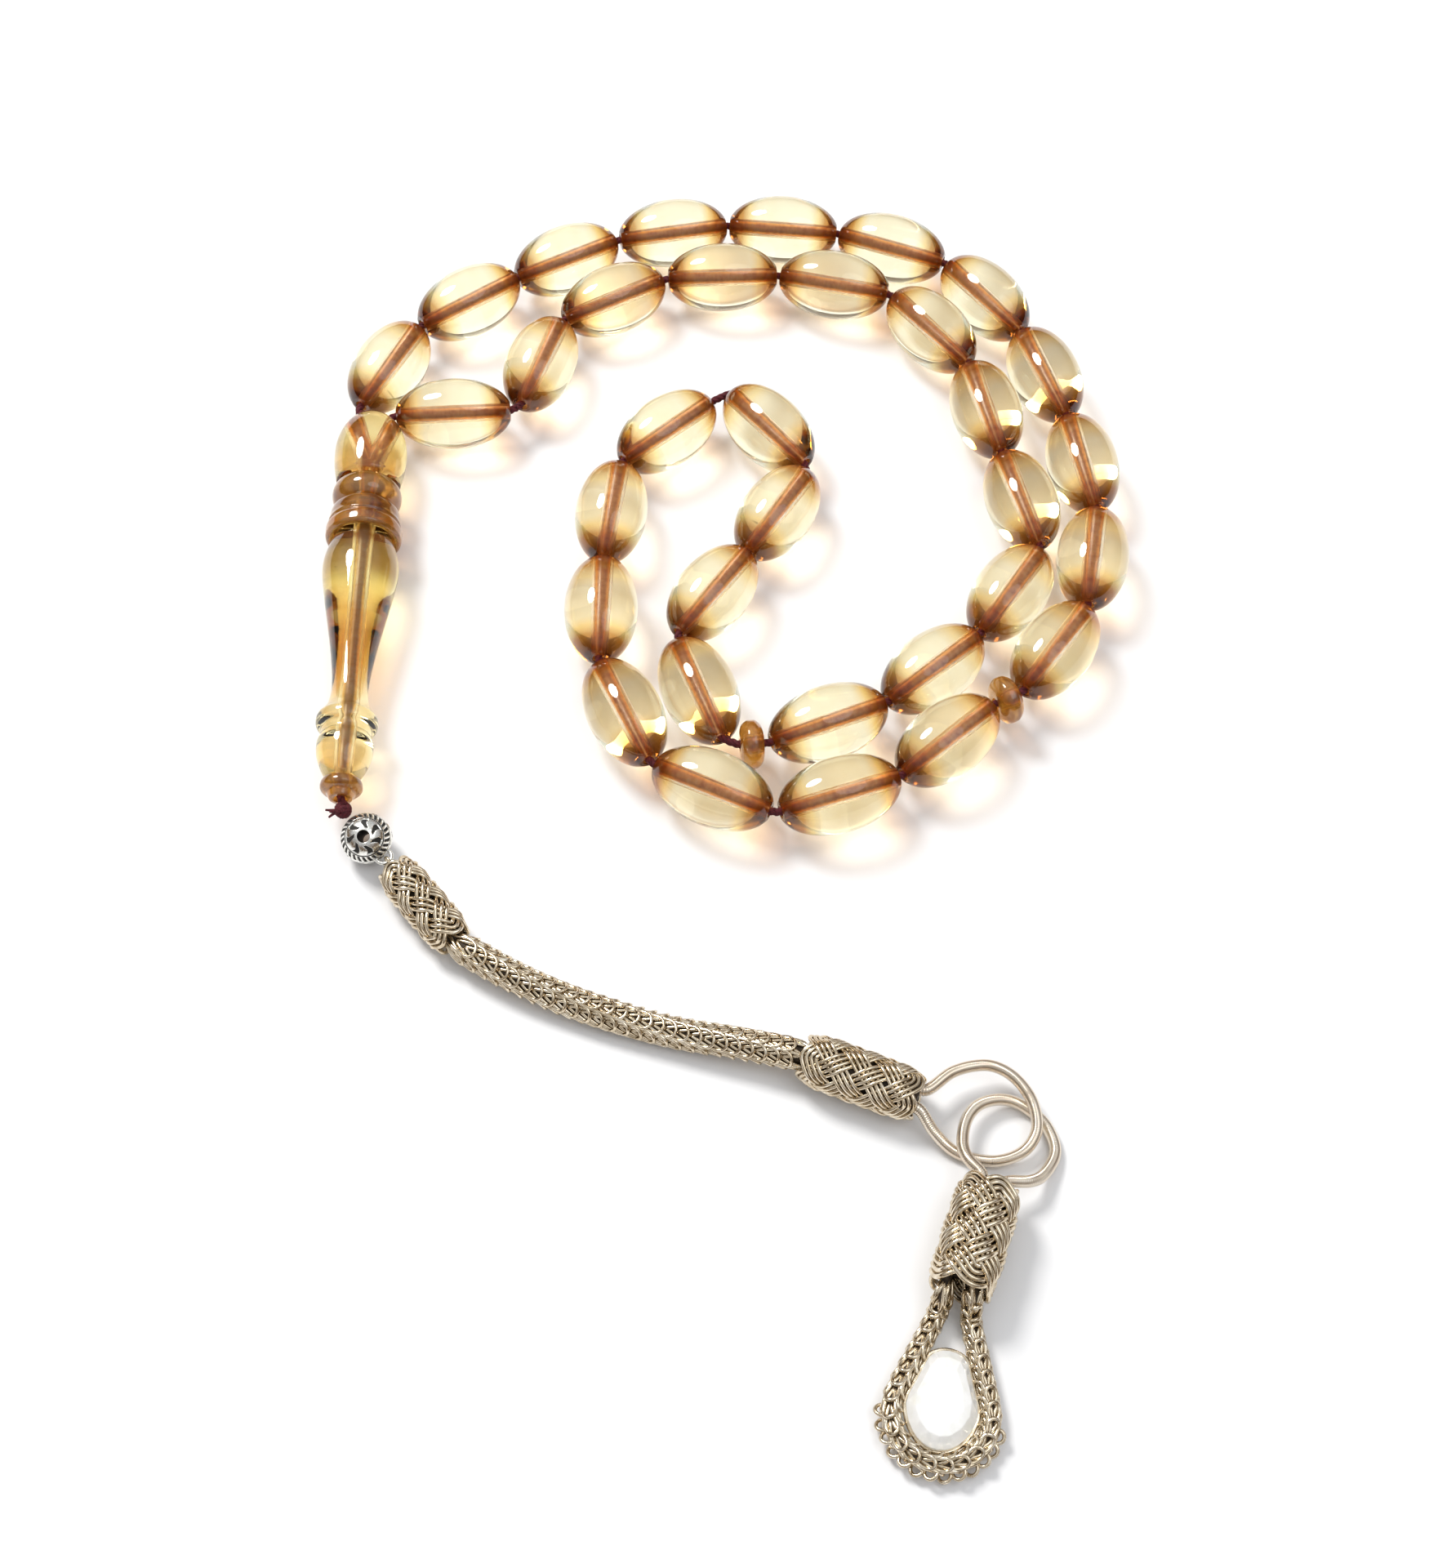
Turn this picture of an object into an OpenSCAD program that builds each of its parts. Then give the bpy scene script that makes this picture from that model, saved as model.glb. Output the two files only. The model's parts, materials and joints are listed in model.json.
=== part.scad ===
// Misbaha prayer beads, laid on a table: a closed loop of beads and two spacer
// discs, a tall bead that gathers both ends of the thread, and a woven silver
// tassel with a linked loop and a teardrop pendant. All sizes are millimetres.
// The table is z = 0, and the tall bead lies along Y.

/* [Beads] */
// Length of one bead along its bore
bead_l = 13; // [11:0.5:16]
// Largest diameter of one bead
bead_d = 8; // [6.5:0.5:10]
// Diameter of the flat rim round each bead's bore
rim_d = 2.2; // [1.9:0.1:2.6]
// Diameter of the bore through beads, spacers and tall bead
bore_d = 1.6; // [1.3:0.1:1.9]
// Diameter of the two spacer discs
spacer_d = 5.2; // [4:0.2:7]
// Thickness of the two spacer discs
spacer_t = 2.5; // [2:0.1:4]

/* [Thread] */
// Diameter of the thread
thread_d = 0.9; // [0.6:0.05:1.1]
// Free length between two neighbouring rims
string_gap = 0.2; // [0.1:0.05:0.6]
// Free length between the tall bead and the first bead on each side
head_lead = 0.6; // [0.4:0.1:2]
// Largest fold of the loop at one fold line, in degrees
fold_max = 20; // [5:1:25]

/* [Tall bead] */
// Length of the domed head
head_l = 10; // [8:0.5:13]
// Largest diameter of the head
head_d = 8.1; // [7:0.1:10]
// Distance between the two thread exits in the head
exit_w = 3.8; // [3.4:0.1:4.2]
// Thickness of the rounded upper collar
collar_up_t = 3.4; // [2.5:0.1:5]
// Diameter of the rounded upper collar
collar_up_d = 7.7; // [6.5:0.1:9.5]
// Thickness of the dished lower collar
collar_low_t = 4.3; // [3:0.1:5.5]
// Diameter of the dished lower collar
collar_low_d = 8.4; // [7:0.1:10]
// Length of the long turned body
body_l = 31.2; // [24:0.1:40]
// Largest diameter of the body
body_d = 8.3; // [7:0.1:10]
// Diameter of the end disc
end_d = 4.3; // [3.4:0.1:6]
// Thickness of the end disc
end_t = 2.2; // [1.6:0.1:3.5]

/* [Tassel] */
// Diameter of the engraved silver ball
ball_d = 5.3; // [4.2:0.1:7]
// Length of the first woven sleeve
sleeve_1_l = 11; // [9:0.1:14]
// Length of the second woven sleeve
sleeve_2_l = 12.2; // [9:0.1:15]
// Diameter of the first woven sleeve
sleeve_1_d = 4.8; // [4.2:0.1:6]
// Diameter of the second woven sleeve
sleeve_2_d = 5.6; // [5:0.1:7]
// Length of the third woven sleeve
sleeve_3_l = 11.4; // [9:0.1:14]
// Diameter of the third woven sleeve
sleeve_3_d = 6.6; // [5.6:0.1:8]
// Diameter of the woven chain
chain_d = 3.4; // [2.6:0.1:4]
// Length of each of the three chain lengths
chain_l = 12.2; // [9:0.1:15]
// Diameter of the wound wire of the two loops
wire_d = 1.05; // [0.8:0.05:1.3]
// Width across each linked loop, to the middle of the wire
loop_w = 9; // [8:0.1:11]
// Length of the teardrop pendant, from neck to tip
pendant_l = 16; // [13:0.1:20]
// Width of the teardrop pendant
pendant_w = 11; // [9:0.1:14]
// Thickness of the pendant's knitted rim
pendant_t = 2.4; // [1.8:0.1:3.2]
// Width of the pendant's knitted rim
rim_w = 2; // [1.5:0.1:2.4]

/* [Hidden] */
// The origin is under the middle of the whole laid-out object
lay_x = -40.25;
lay_y = 43.2;

// Compass headings of the pieces along each strand, from the tall bead outwards,
// in degrees from +X. Each strand has its spacer disc at place 11.
headings_a = [64, 35, 28, 11, -5, -20, -53, -72, -81, -100, -126, -155,
              -139, -161, -205, -246, -271, -277, -319];
headings_b = [4, 72, 29, 3, -12, -52, -78, -76, -124, -140, -158, -175,
              -249, -305, -302, -231];
spacer_place = 11;
// The fold lines each cross both strands at these piece ends
folds_a = [1, 3, 6, 8, 11, 14, 16];
folds_b = [1, 3, 5, 7, 9, 11, 13];
// Strand A starts this far above the head's shoulder, strand B this far below it
exit_rise_a = 0.2;
exit_rise_b = -0.8;
// A fat bead needs this much pitch per millimetre of diameter, so that
// neighbouring turns of the laid-out loop stay clear of each other
pitch_per_d = 1.62;

run_gap = 0.1;
thread_end = 0.3;
fine = 48;
bead_facets = 10;
spacer_round = 1;
tube_sides = 8;
BEADS = 33;
A_BEADS = 18;

axis_z = max(bead_d, head_d, collar_up_d, collar_low_d, body_d) / 2;

// ---- Outlines ----
function ellipse_a(l, d, rim) = l / 2 / sqrt(1 - pow(rim / d, 2));
function bead_r(x) = bead_d / 2 * sqrt(1 - pow(x / ellipse_a(bead_l, bead_d, rim_d), 2));
function catmull(p0, p1, p2, p3, t) =
    0.5 * (2 * p1 + (p2 - p0) * t + (2 * p0 - 5 * p1 + 4 * p2 - p3) * t * t
           + (3 * p1 - p0 - 3 * p2 + p3) * t * t * t);
// A smooth line through the points, with n steps between neighbours
function smooth(p, n) =
    let (m = len(p) - 1)
    concat([for (i = [0:m - 1]) for (s = [0:n - 1])
                catmull(p[max(i - 1, 0)], p[i], p[i + 1], p[min(i + 2, m)], s / n)],
           [p[m]]);

// ---- Layout of the strands ----
function dir(h) = [cos(h), sin(h)];
// How far past its end face a piece reaches towards a neighbour at this bend
function bead_reach(turn) =
    let (t = tan(turn / 2), a = ellipse_a(bead_l, bead_d, rim_d),
         s = sqrt(a * a + pow(bead_d / 2 * t, 2)))
    a * a / s < bead_l / 2 ? s - bead_l / 2 : rim_d / 2 * t;
function spacer_reach(turn) =
    let (t = tan(turn / 2))
    (spacer_d / 2 - spacer_round) * t + spacer_round * (sqrt(1 + t * t) - 1);
function piece_l(i) = i == spacer_place ? spacer_t : bead_l;
function spread(i) = i == spacer_place ? 0 : max(0, bead_d * pitch_per_d - bead_l) / 2;
function reach(i, turn) = spread(i) + (i == spacer_place ? spacer_reach(turn) : bead_reach(turn));
function is_fold(folds, k) = len(search(k, folds)) > 0;
function bend(hs, folds, k) =
    sqrt(pow(hs[k] - hs[k - 1], 2) + pow(is_fold(folds, k) ? fold_max : 0, 2));
function lead(hs, folds, i) =
    i == 0 ? head_lead + spread(0) : reach(i, bend(hs, folds, i)) + string_gap / 2;
function tail(hs, folds, i) =
    i == len(hs) - 1 ? thread_end + spread(i) : reach(i, bend(hs, folds, i + 1)) + string_gap / 2;
// Points where the thread turns, from the head's exit to the far end
function turns(p, hs, folds, i = 0) =
    i == len(hs) ? [p]
    : concat([p], turns(p + (lead(hs, folds, i) + piece_l(i) + tail(hs, folds, i)) * dir(hs[i]),
                        hs, folds, i + 1));
turns_a = turns([-exit_w / 2, exit_rise_a], headings_a, folds_a);
turns_b = turns([exit_w / 2, exit_rise_b], headings_b, folds_b);
function centre(vs, hs, folds, i) = vs[i] + (lead(hs, folds, i) + piece_l(i) / 2) * dir(hs[i]);

// ---- Layout of the tall bead and the tassel ----
collar_up_y = -0.8 - head_l - run_gap;
collar_low_y = collar_up_y - collar_up_t - run_gap;
dish_depth = 0.8;
body_y = collar_low_y - collar_low_t + dish_depth - run_gap;
end_y = body_y - body_l - run_gap;
stem_end_y = end_y - end_t - 0.2;
knot_d = 1.9;
knot_at = [0.3, stem_end_y - knot_d / 2 + 0.1, axis_z - 0.5];
ball_heading = -48;
ball_at = [each [knot_at.x, knot_at.y] + (knot_d / 2 + ball_d / 2 + run_gap) * dir(ball_heading), ball_d / 2];
// A ring soldered to the ball is linked with an eye on the first sleeve
ring_r = 0.8;
ring_wire = 0.4;
ring_out = 0.2;
ring_at = [each [ball_at.x, ball_at.y] + (ball_d / 2 + ring_out) * dir(ball_heading), ball_d / 2];
eye_r = 0.6;
sleeve_1_heading = -51;
// The eye's far side hangs here, inside the ring
link_at = [ring_at.x, ring_at.y] + 0.25 * dir(sleeve_1_heading);
sleeve_1_at = link_at + (2 * eye_r) * dir(sleeve_1_heading);
sleeve_1_end = sleeve_1_at + sleeve_1_l * dir(sleeve_1_heading);

// The chain's headings, two for each of its three lengths
chain_headings = [-32, -25, -20, -16, -13, -14];
chain_gap = 0.7;
chain_in = 2;
function chain_points(p, i = 0) =
    i == len(chain_headings) ? [p]
    : concat([p], chain_points(p + chain_l / 2 * dir(chain_headings[i]), i + 1));
chain_xy = chain_points(sleeve_1_end);
// The chain lies on the table in its middle and rises to both sleeves
chain_rest = chain_d / 2;
chain_z = [sleeve_1_d / 2, (sleeve_1_d / 2 + chain_rest) / 2, chain_rest, chain_rest,
           chain_rest, (sleeve_2_d / 2 + chain_rest) / 2, sleeve_2_d / 2];
sleeve_2_at = chain_xy[6];
sleeve_2_heading = -22;
sleeve_2_end = sleeve_2_at + sleeve_2_l * dir(sleeve_2_heading);

// Each loop leaves its sleeve at two points, swells to a round and comes back.
// Points are [along, across, level]; a level of 1 is one wire above the table.
level_gap = 0.3;
function level_z(n) = wire_d / 2 + n * (wire_d + level_gap);
loop_k = loop_w / 9;
foot_w = 2.2;
loop_1_route = [[2, 3.9, 1.6], [4.4, 5.7, 1.5], [6.4, 6.1, 1.35], [8.4, 5.5, 1.2], [10.3, 3.9, 1.1],
                [11.4, 1.6, 0.8], [10.9, -0.7, 0.5], [8.9, -2.4, 0.2], [6.4, -3, 0], [4.4, -2.9, 0.05],
                [2.2, -2.2, 0.8]];
loop_2_route = [[1.6, 2.9, 1.8], [3.2, 3.8, 1.4], [5.6, 4.1, 1.15], [7.6, 3.5, 0.9], [9, 2, 0.6],
                [9.6, 0.2, 0.25], [9.3, -1.7, 0], [8.3, -3.5, 0], [6.1, -4.9, 0], [3.4, -4.5, 0.5],
                [1.7, -3.4, 1.3]];
link_heading = 70;
sleeve_3_heading = -110;
sleeve_3_at = sleeve_2_end + loop_k * [6.3, -8.6];
sleeve_3_end = sleeve_3_at + sleeve_3_l * dir(sleeve_3_heading);
pendant_heading = -101;
pendant_at = sleeve_3_end + 0.2 * dir(pendant_heading);

function lift(p, z) = [p.x, p.y, z];
function turn2(p, h) = [p.x * cos(h) - p.y * sin(h), p.x * sin(h) + p.y * cos(h)];
// A loop's route in the part's frame: its feet are inside the sleeve
function loop_points(at, heading, foot_z, route) =
    let (foot = 1.2, level_foot = (foot_z - wire_d / 2) / (wire_d + level_gap),
         local = concat([[-foot, foot_w / 2, level_foot], [0.3, foot_w / 2, level_foot]],
                        [for (p = route) [loop_k * p.x, loop_k * p.y, p.z]],
                        [[0.3, -foot_w / 2, level_foot], [-foot, -foot_w / 2, level_foot]]))
    [for (p = smooth(local, 3)) lift(at + turn2([p.x, p.y], heading), level_z(max(0, p.z)))];

// ---- Solids shared by several pieces ----
// A tube of flat sides along a route, mitred at each turn
function unit(v) = v / norm(v);
function tube_frame(p, i) =
    let (m = len(p) - 1,
         before = unit(p[max(i, 1)] - p[max(i, 1) - 1]),
         after = unit(p[min(i, m - 1) + 1] - p[min(i, m - 1)]),
         along = unit(before + after),
         side = unit(cross([0, 0, 1], along)),
         up = cross(along, side),
         miter = 1 / max(0.5, along * before))
    [side * miter, up];
module tube(p, d, sides = tube_sides) {
    rings = [for (i = [0:len(p) - 1])
                 let (f = tube_frame(p, i))
                 for (k = [0:sides - 1])
                     p[i] + d / 2 * (cos(360 * k / sides) * f[0] + sin(360 * k / sides) * f[1])];
    n = len(p);
    faces = concat([[for (k = [0:sides - 1]) k]],
                   [for (i = [0:n - 2]) for (k = [0:sides - 1])
                        let (a = i * sides + k, b = i * sides + (k + 1) % sides)
                        each [[a, a + sides, b], [b, a + sides, b + sides]]],
                   [[for (k = [sides - 1:-1:0]) (n - 1) * sides + k]]);
    polyhedron(rings, faces);
}
// Places a piece turned about +X with its axis along a heading
module along(at, heading, z) {
    translate([at.x, at.y, z]) rotate([0, 0, heading]) children();
}
module lathe(outline) {
    rotate([0, 90, 0]) rotate_extrude($fn = fine) polygon(outline);
}
module lay() {
    translate([lay_x, lay_y, 0]) children();
}

// ---- Beads and spacers ----
module bead_shape() {
    curve = [for (i = [0:bead_facets]) let (x = -bead_l / 2 * cos(180 * i / bead_facets)) [bead_r(x), x]];
    lathe(concat([[bore_d / 2, -bead_l / 2]], curve, [[bore_d / 2, bead_l / 2]]));
}
module spacer_shape() {
    r = spacer_d / 2 - spacer_round;
    steps = 5;
    arc = [for (i = [0:steps]) [cos(90 * i / steps), sin(90 * i / steps)] * spacer_round];
    upper = [for (p = arc) [r + p.x, spacer_t / 2 - spacer_round + p.y]];
    lower = [for (i = [steps:-1:0]) [r + arc[i].x, -spacer_t / 2 + spacer_round - arc[i].y]];
    lathe(concat([[bore_d / 2, -spacer_t / 2]], lower, upper, [[bore_d / 2, spacer_t / 2]]));
}
module piece_a(i) {
    lay() along(centre(turns_a, headings_a, folds_a, i), headings_a[i], axis_z) children();
}
module piece_b(i) {
    lay() along(centre(turns_b, headings_b, folds_b, i), headings_b[i], axis_z) children();
}
// Beads are numbered from the left exit, round the loop, to the right exit
module bead(n) {
    color("goldenrod", 0.7)
    if (n <= A_BEADS) {
        piece_a(n <= spacer_place ? n - 1 : n) bead_shape();
    } else {
        piece_b(BEADS - n < spacer_place ? BEADS - n : BEADS - n + 1) bead_shape();
    }
}
module spacer_1() { color("peru") piece_a(spacer_place) spacer_shape(); }
module spacer_2() { color("peru") piece_b(spacer_place) spacer_shape(); }

// ---- Thread ----
// One stretch of a strand between two of its turns. Ends that fold stop short
// of the fold line, so that neighbouring stretches stay apart as they turn.
function toward(p, q, d) = p + d * unit(q - p);
function stretch(vs, from, to) =
    [for (i = [from:to])
         i == from ? toward(vs[i], vs[i + 1], thread_d / 4)
         : i == to ? toward(vs[i], vs[i - 1], thread_d / 4)
         : vs[i]];
function on_axis(p) = [for (q = p) lift(q, axis_z)];
module thread_section(k) {
    color("#5e1022")
    lay() {
        tube(on_axis(stretch(turns_a, folds_a[k - 1], folds_a[k])), thread_d);
        tube(on_axis(stretch(turns_b, folds_b[k - 1], folds_b[k])), thread_d);
    }
}
// The last section also holds the bare thread between the two strands
module thread_far_end() {
    last = len(folds_a) - 1;
    a = [for (i = [folds_a[last]:len(turns_a) - 1]) turns_a[i]];
    b = [for (i = [len(turns_b) - 1:-1:folds_b[last]]) turns_b[i]];
    whole = concat(a, b);
    n = len(whole) - 1;
    color("#5e1022") lay()
        tube(on_axis([for (i = [0:n]) i == 0 ? toward(whole[0], whole[1], thread_d / 4)
                                     : i == n ? toward(whole[n], whole[n - 1], thread_d / 4)
                                     : whole[i]]), thread_d);
}
// The thread in the tall bead: a V in the head, then one stem to the knot
v_join_y = -9.4 * head_l / 10;
// The two bores run into a slightly wider well in the head's lower end
v_well = 0.9;
v_well_wall = 0.3;
module thread_stem() {
    a = [[0, v_join_y], turns_a[0], toward(turns_a[1], turns_a[0], thread_d / 4)];
    b = [[0, v_join_y], turns_b[0], toward(turns_b[1], turns_b[0], thread_d / 4)];
    color("#5e1022") lay() {
        tube(on_axis(a), thread_d);
        tube(on_axis(b), thread_d);
        tube([[0, v_join_y + 0.3, axis_z], [0, stem_end_y - 0.05, axis_z]], thread_d);
    }
}
module knot() {
    color("#5e1022") lay() translate(knot_at) sphere(d = knot_d, $fn = fine);
}

// ---- Tall bead ----
// Outlines run down the axis as [radius, distance from the upper end]
module turned(outline, y) {
    color("goldenrod", 0.7) lay() along([0, y], -90, axis_z) lathe(outline);
}
module imame_head() {
    widest = 0.58 * head_l;
    lower_a = 0.82 * head_l;
    n = 9;
    dome = [for (i = [0:n]) let (t = 90 * i / n) [head_d / 2 * sin(t), widest * (1 - cos(t))]];
    skirt = [for (i = [1:4]) let (s = (head_l - widest) * i / 4)
                 [head_d / 2 * sqrt(1 - pow(s / lower_a, 2)), widest + s]];
    difference() {
        turned(concat(dome, skirt, [[0, head_l]]), -0.8);
        lay() for (p = [turns_a[0], turns_b[0]]) {
            to = p - [0, v_join_y];
            translate([0, v_join_y, axis_z]) rotate([0, 0, atan2(to.y, to.x)]) rotate([0, 90, 0])
                cylinder(d = bore_d, h = norm(to) + 2, $fn = fine);
        }
        lay() translate([0, v_join_y + v_well, axis_z]) rotate([90, 0, 0])
            cylinder(d = bore_d + 2 * v_well_wall, h = head_l, $fn = fine);
    }
}
module collar_upper() {
    r = collar_up_d / 2;
    t = collar_up_t;
    bulge = [for (i = [0:8]) let (s = -80 + 20 * i) [r - t * 0.42 * (1 - cos(s)), t / 2 + t / 2 * sin(s) / sin(80)]];
    turned(concat([[bore_d / 2, 0]], bulge, [[bore_d / 2, t]]), collar_up_y);
}
module collar_lower() {
    r = collar_low_d / 2;
    t = collar_low_t;
    outside = smooth([[r * 0.8, 0], [r * 0.88, t * 0.1], [r * 0.93, t * 0.4], [r, t * 0.7],
                      [r * 0.98, t * 0.94], [r * 0.92, t]], 3);
    turned(concat([[bore_d / 2, 0]], outside,
                  [[r * 0.84, t], [r * 0.82, t - dish_depth], [bore_d / 2, t - dish_depth]]), collar_low_y);
}
module imame_body() {
    // The dish of the lower collar holds the body's upper end
    foot_r = min(body_d / 2 * 0.7, collar_low_d / 2 * 0.82 - run_gap);
    k = body_d / 8.3;
    m = body_l / 31.2;
    outline = smooth([[foot_r, 0], [3.5 * k, 1.4 * m], [4.15 * k, 4.6 * m], [3.6 * k, 8.8 * m],
                      [2.5 * k, 15 * m], [1.95 * k, 19.6 * m], [2.15 * k, 22 * m], [3.15 * k, 23.8 * m],
                      [3.23 * k, 24.8 * m], [2.65 * k, 26 * m], [2.95 * k, 27.2 * m],
                      [2.85 * k, 28.6 * m], [1.7 * k, 31.2 * m]], 3);
    turned(concat([[bore_d / 2, 0]], outline, [[bore_d / 2, body_l]]), body_y);
}
module end_disc() {
    r = end_d / 2;
    outline = smooth([[r * 0.75, 0], [r * 0.98, 0.25 * end_t], [r, 0.5 * end_t],
                      [r * 0.7, 0.82 * end_t], [r * 0.55, end_t]], 3);
    turned(concat([[bore_d / 2, 0]], outline, [[bore_d / 2, end_t]]), end_y);
}

// ---- Tassel ----
module torus(r, d) {
    rotate_extrude($fn = fine) translate([r, 0]) circle(d = d, $fn = 20);
}
module silver_ball() {
    color("silver") lay() {
        difference() {
            translate(ball_at) sphere(d = ball_d, $fn = fine);
            translate(ball_at) rotate([25, 0, 0]) cylinder(d = bore_d, h = 2 * ball_d, center = true, $fn = fine);
        }
        translate(ring_at) torus(ring_r, ring_wire);
    }
}
// A woven sleeve lies along +X from 0, and holds what enters it in a blind bore
module sleeve_shape(l, d, in_d, in_l) {
    outline = smooth([[d * 0.36, 0], [d * 0.46, l * 0.05], [d * 0.5, l * 0.2], [d * 0.5, l * 0.8],
                      [d * 0.46, l * 0.95], [d * 0.38, l]], 2);
    lathe(concat([[0, 0]], outline, [[in_d / 2, l], [in_d / 2, l - in_l], [0, l - in_l]]));
}
module sleeve_1() {
    color("silver") lay() {
        along(sleeve_1_at, sleeve_1_heading, sleeve_1_d / 2)
            sleeve_shape(sleeve_1_l, sleeve_1_d, chain_d + 0.1, chain_in + 0.1);
        along(sleeve_1_at + (0.1 - eye_r) * dir(sleeve_1_heading), sleeve_1_heading, ring_at.z)
            rotate([90, 0, 0]) torus(eye_r, ring_wire);
    }
}
// One length of chain; its ends at a joint stop half a gap short
function chain_part(k) = [for (i = [2 * k:2 * k + 2]) lift(chain_xy[i], chain_z[i])];
module chain(k) {
    p = chain_part(k);
    first = k == 0 ? p[0] - chain_in * lift(dir(sleeve_1_heading), 0) : toward(p[0], p[1], chain_gap / 2);
    last = k == 2 ? p[2] + chain_in * lift(dir(sleeve_2_heading), 0) : toward(p[2], p[1], chain_gap / 2);
    color("silver") lay() tube(concat([first], k == 0 ? [p[0]] : [], [p[1]], k == 2 ? [p[2]] : [], [last]), chain_d, 12);
}
module sleeve_2() {
    color("silver") lay() difference() {
        along(sleeve_2_end, sleeve_2_heading + 180, sleeve_2_d / 2)
            sleeve_shape(sleeve_2_l, sleeve_2_d, chain_d + 0.1, chain_in + 0.1);
        feet(sleeve_2_end, sleeve_2_heading, sleeve_2_d / 2);
    }
}
// Two holes that a loop's feet are set into
module feet(at, heading, z) {
    for (s = [-1, 1]) along(at, heading, z) translate([-1.4, s * foot_w / 2, 0]) rotate([0, 90, 0])
        cylinder(d = wire_d + 0.1, h = 3, $fn = fine);
}
module loop_1() {
    color("silver") lay() tube(loop_points(sleeve_2_end, sleeve_2_heading, sleeve_2_d / 2, loop_1_route), wire_d);
}
module loop_2() {
    color("silver") lay() tube(loop_points(sleeve_3_at, link_heading, sleeve_3_d / 2, loop_2_route), wire_d);
}
module sleeve_3() {
    color("silver") lay() difference() {
        along(sleeve_3_end, sleeve_3_heading + 180, sleeve_3_d / 2)
            sleeve_shape(sleeve_3_l, sleeve_3_d, 0.2, 0.1);
        feet(sleeve_3_at, link_heading, sleeve_3_d / 2);
    }
}
// The pendant lies along +X from its neck at 0
neck_r = 2.9;
module pendant_outline(grow) {
    hull() {
        translate([pendant_l - pendant_w / 2, 0]) circle(r = pendant_w / 2 + grow, $fn = 32);
        translate([neck_r, 0]) circle(r = neck_r + grow, $fn = 24);
    }
}
module pendant_frame() {
    color("silver") lay() along(pendant_at, pendant_heading, 0)
        linear_extrude(pendant_t) difference() {
            pendant_outline(0);
            pendant_outline(-rim_w);
        }
}
// The stone is a faceted oval held inside the rim: culet, girdle and table
stone_gap = 0.15;
stone_w = pendant_w - 2 * rim_w - 2 * stone_gap;
stone_l = stone_w + 2.4;
stone_x = pendant_l - rim_w - stone_gap - stone_l / 2;
module stone_slice(z, t, size) {
    translate([0, 0, z]) linear_extrude(t) scale(size) intersection() {
        scale([stone_l / stone_w, 1]) circle(d = stone_w, $fn = 16);
        translate([-stone_x, 0]) pendant_outline(-rim_w - stone_gap);
    }
}
module crystal() {
    color("white", 0.4) lay() along(pendant_at, pendant_heading, 0) translate([stone_x, 0, 0]) hull() {
        stone_slice(0.1, 0.1, 0.4);
        stone_slice(pendant_t * 0.55, 0.3, 1);
        stone_slice(pendant_t + 0.6, 0.1, 0.6);
    }
}

function two(n) = str(n < 10 ? "0" : "", n);
sections = len(folds_a) - 1;
bead_names = [for (n = [1:BEADS]) str("bead_", two(n))];
thread_names = [for (k = [1:sections + 1]) str("thread_section_", k)];
chain_names = [for (k = [1:3]) str("chain_", k)];

imame_head();
collar_upper();
collar_lower();
imame_body();
end_disc();
thread_stem();
knot();
spacer_1();
spacer_2();
silver_ball();
sleeve_1();
sleeve_2();
loop_1();
loop_2();
sleeve_3();
pendant_frame();
crystal();
for (k = [0:2])
    chain(k);
for (k = [1:sections])
    thread_section(k);
thread_far_end();
for (n = [1:BEADS])
    bead(n);
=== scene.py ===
"""Misbaha prayer beads: the finished look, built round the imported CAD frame.

Lengths in this script are in millimetres in the row frame, and are turned into metres as each mesh is
made. Bead places and axes come from the frame's own spin joints; the tassel follows the same few
lengths and headings as the CAD layout, counted from the tall bead's axis.
"""

import json
import math

import bmesh
import bpy
import numpy as np
from mathutils import Matrix, Vector

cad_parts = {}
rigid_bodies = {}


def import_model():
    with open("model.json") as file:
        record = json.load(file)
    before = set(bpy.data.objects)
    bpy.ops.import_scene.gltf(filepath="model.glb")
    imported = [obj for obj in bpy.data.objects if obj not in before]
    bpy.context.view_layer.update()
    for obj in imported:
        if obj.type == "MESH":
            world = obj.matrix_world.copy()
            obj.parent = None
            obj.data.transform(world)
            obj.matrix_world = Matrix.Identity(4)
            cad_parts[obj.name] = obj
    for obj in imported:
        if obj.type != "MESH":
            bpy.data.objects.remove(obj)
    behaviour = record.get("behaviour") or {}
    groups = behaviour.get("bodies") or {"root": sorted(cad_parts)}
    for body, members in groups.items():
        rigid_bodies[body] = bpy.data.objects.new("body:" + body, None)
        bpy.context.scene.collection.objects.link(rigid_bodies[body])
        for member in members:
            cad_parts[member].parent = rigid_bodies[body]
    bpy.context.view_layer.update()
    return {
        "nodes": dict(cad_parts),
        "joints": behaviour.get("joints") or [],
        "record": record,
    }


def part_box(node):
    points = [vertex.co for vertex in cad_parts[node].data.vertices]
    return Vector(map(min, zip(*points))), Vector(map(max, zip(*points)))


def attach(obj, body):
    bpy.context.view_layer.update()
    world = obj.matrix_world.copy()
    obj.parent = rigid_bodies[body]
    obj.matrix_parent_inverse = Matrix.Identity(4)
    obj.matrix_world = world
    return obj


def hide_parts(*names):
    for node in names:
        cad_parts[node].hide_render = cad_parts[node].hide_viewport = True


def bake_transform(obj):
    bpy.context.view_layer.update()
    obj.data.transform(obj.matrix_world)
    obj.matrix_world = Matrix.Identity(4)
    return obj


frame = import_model()

MM = 0.001
TAU = 2 * math.pi
UP = np.array([0.0, 0.0, 1.0])
WHITE = (1.0, 1.0, 1.0)
joints = {j["name"]: j for j in frame["joints"]}
bodies = frame["record"]["behaviour"]["bodies"]
body_of = {node: body for body, nodes in bodies.items() for node in nodes}


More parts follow.
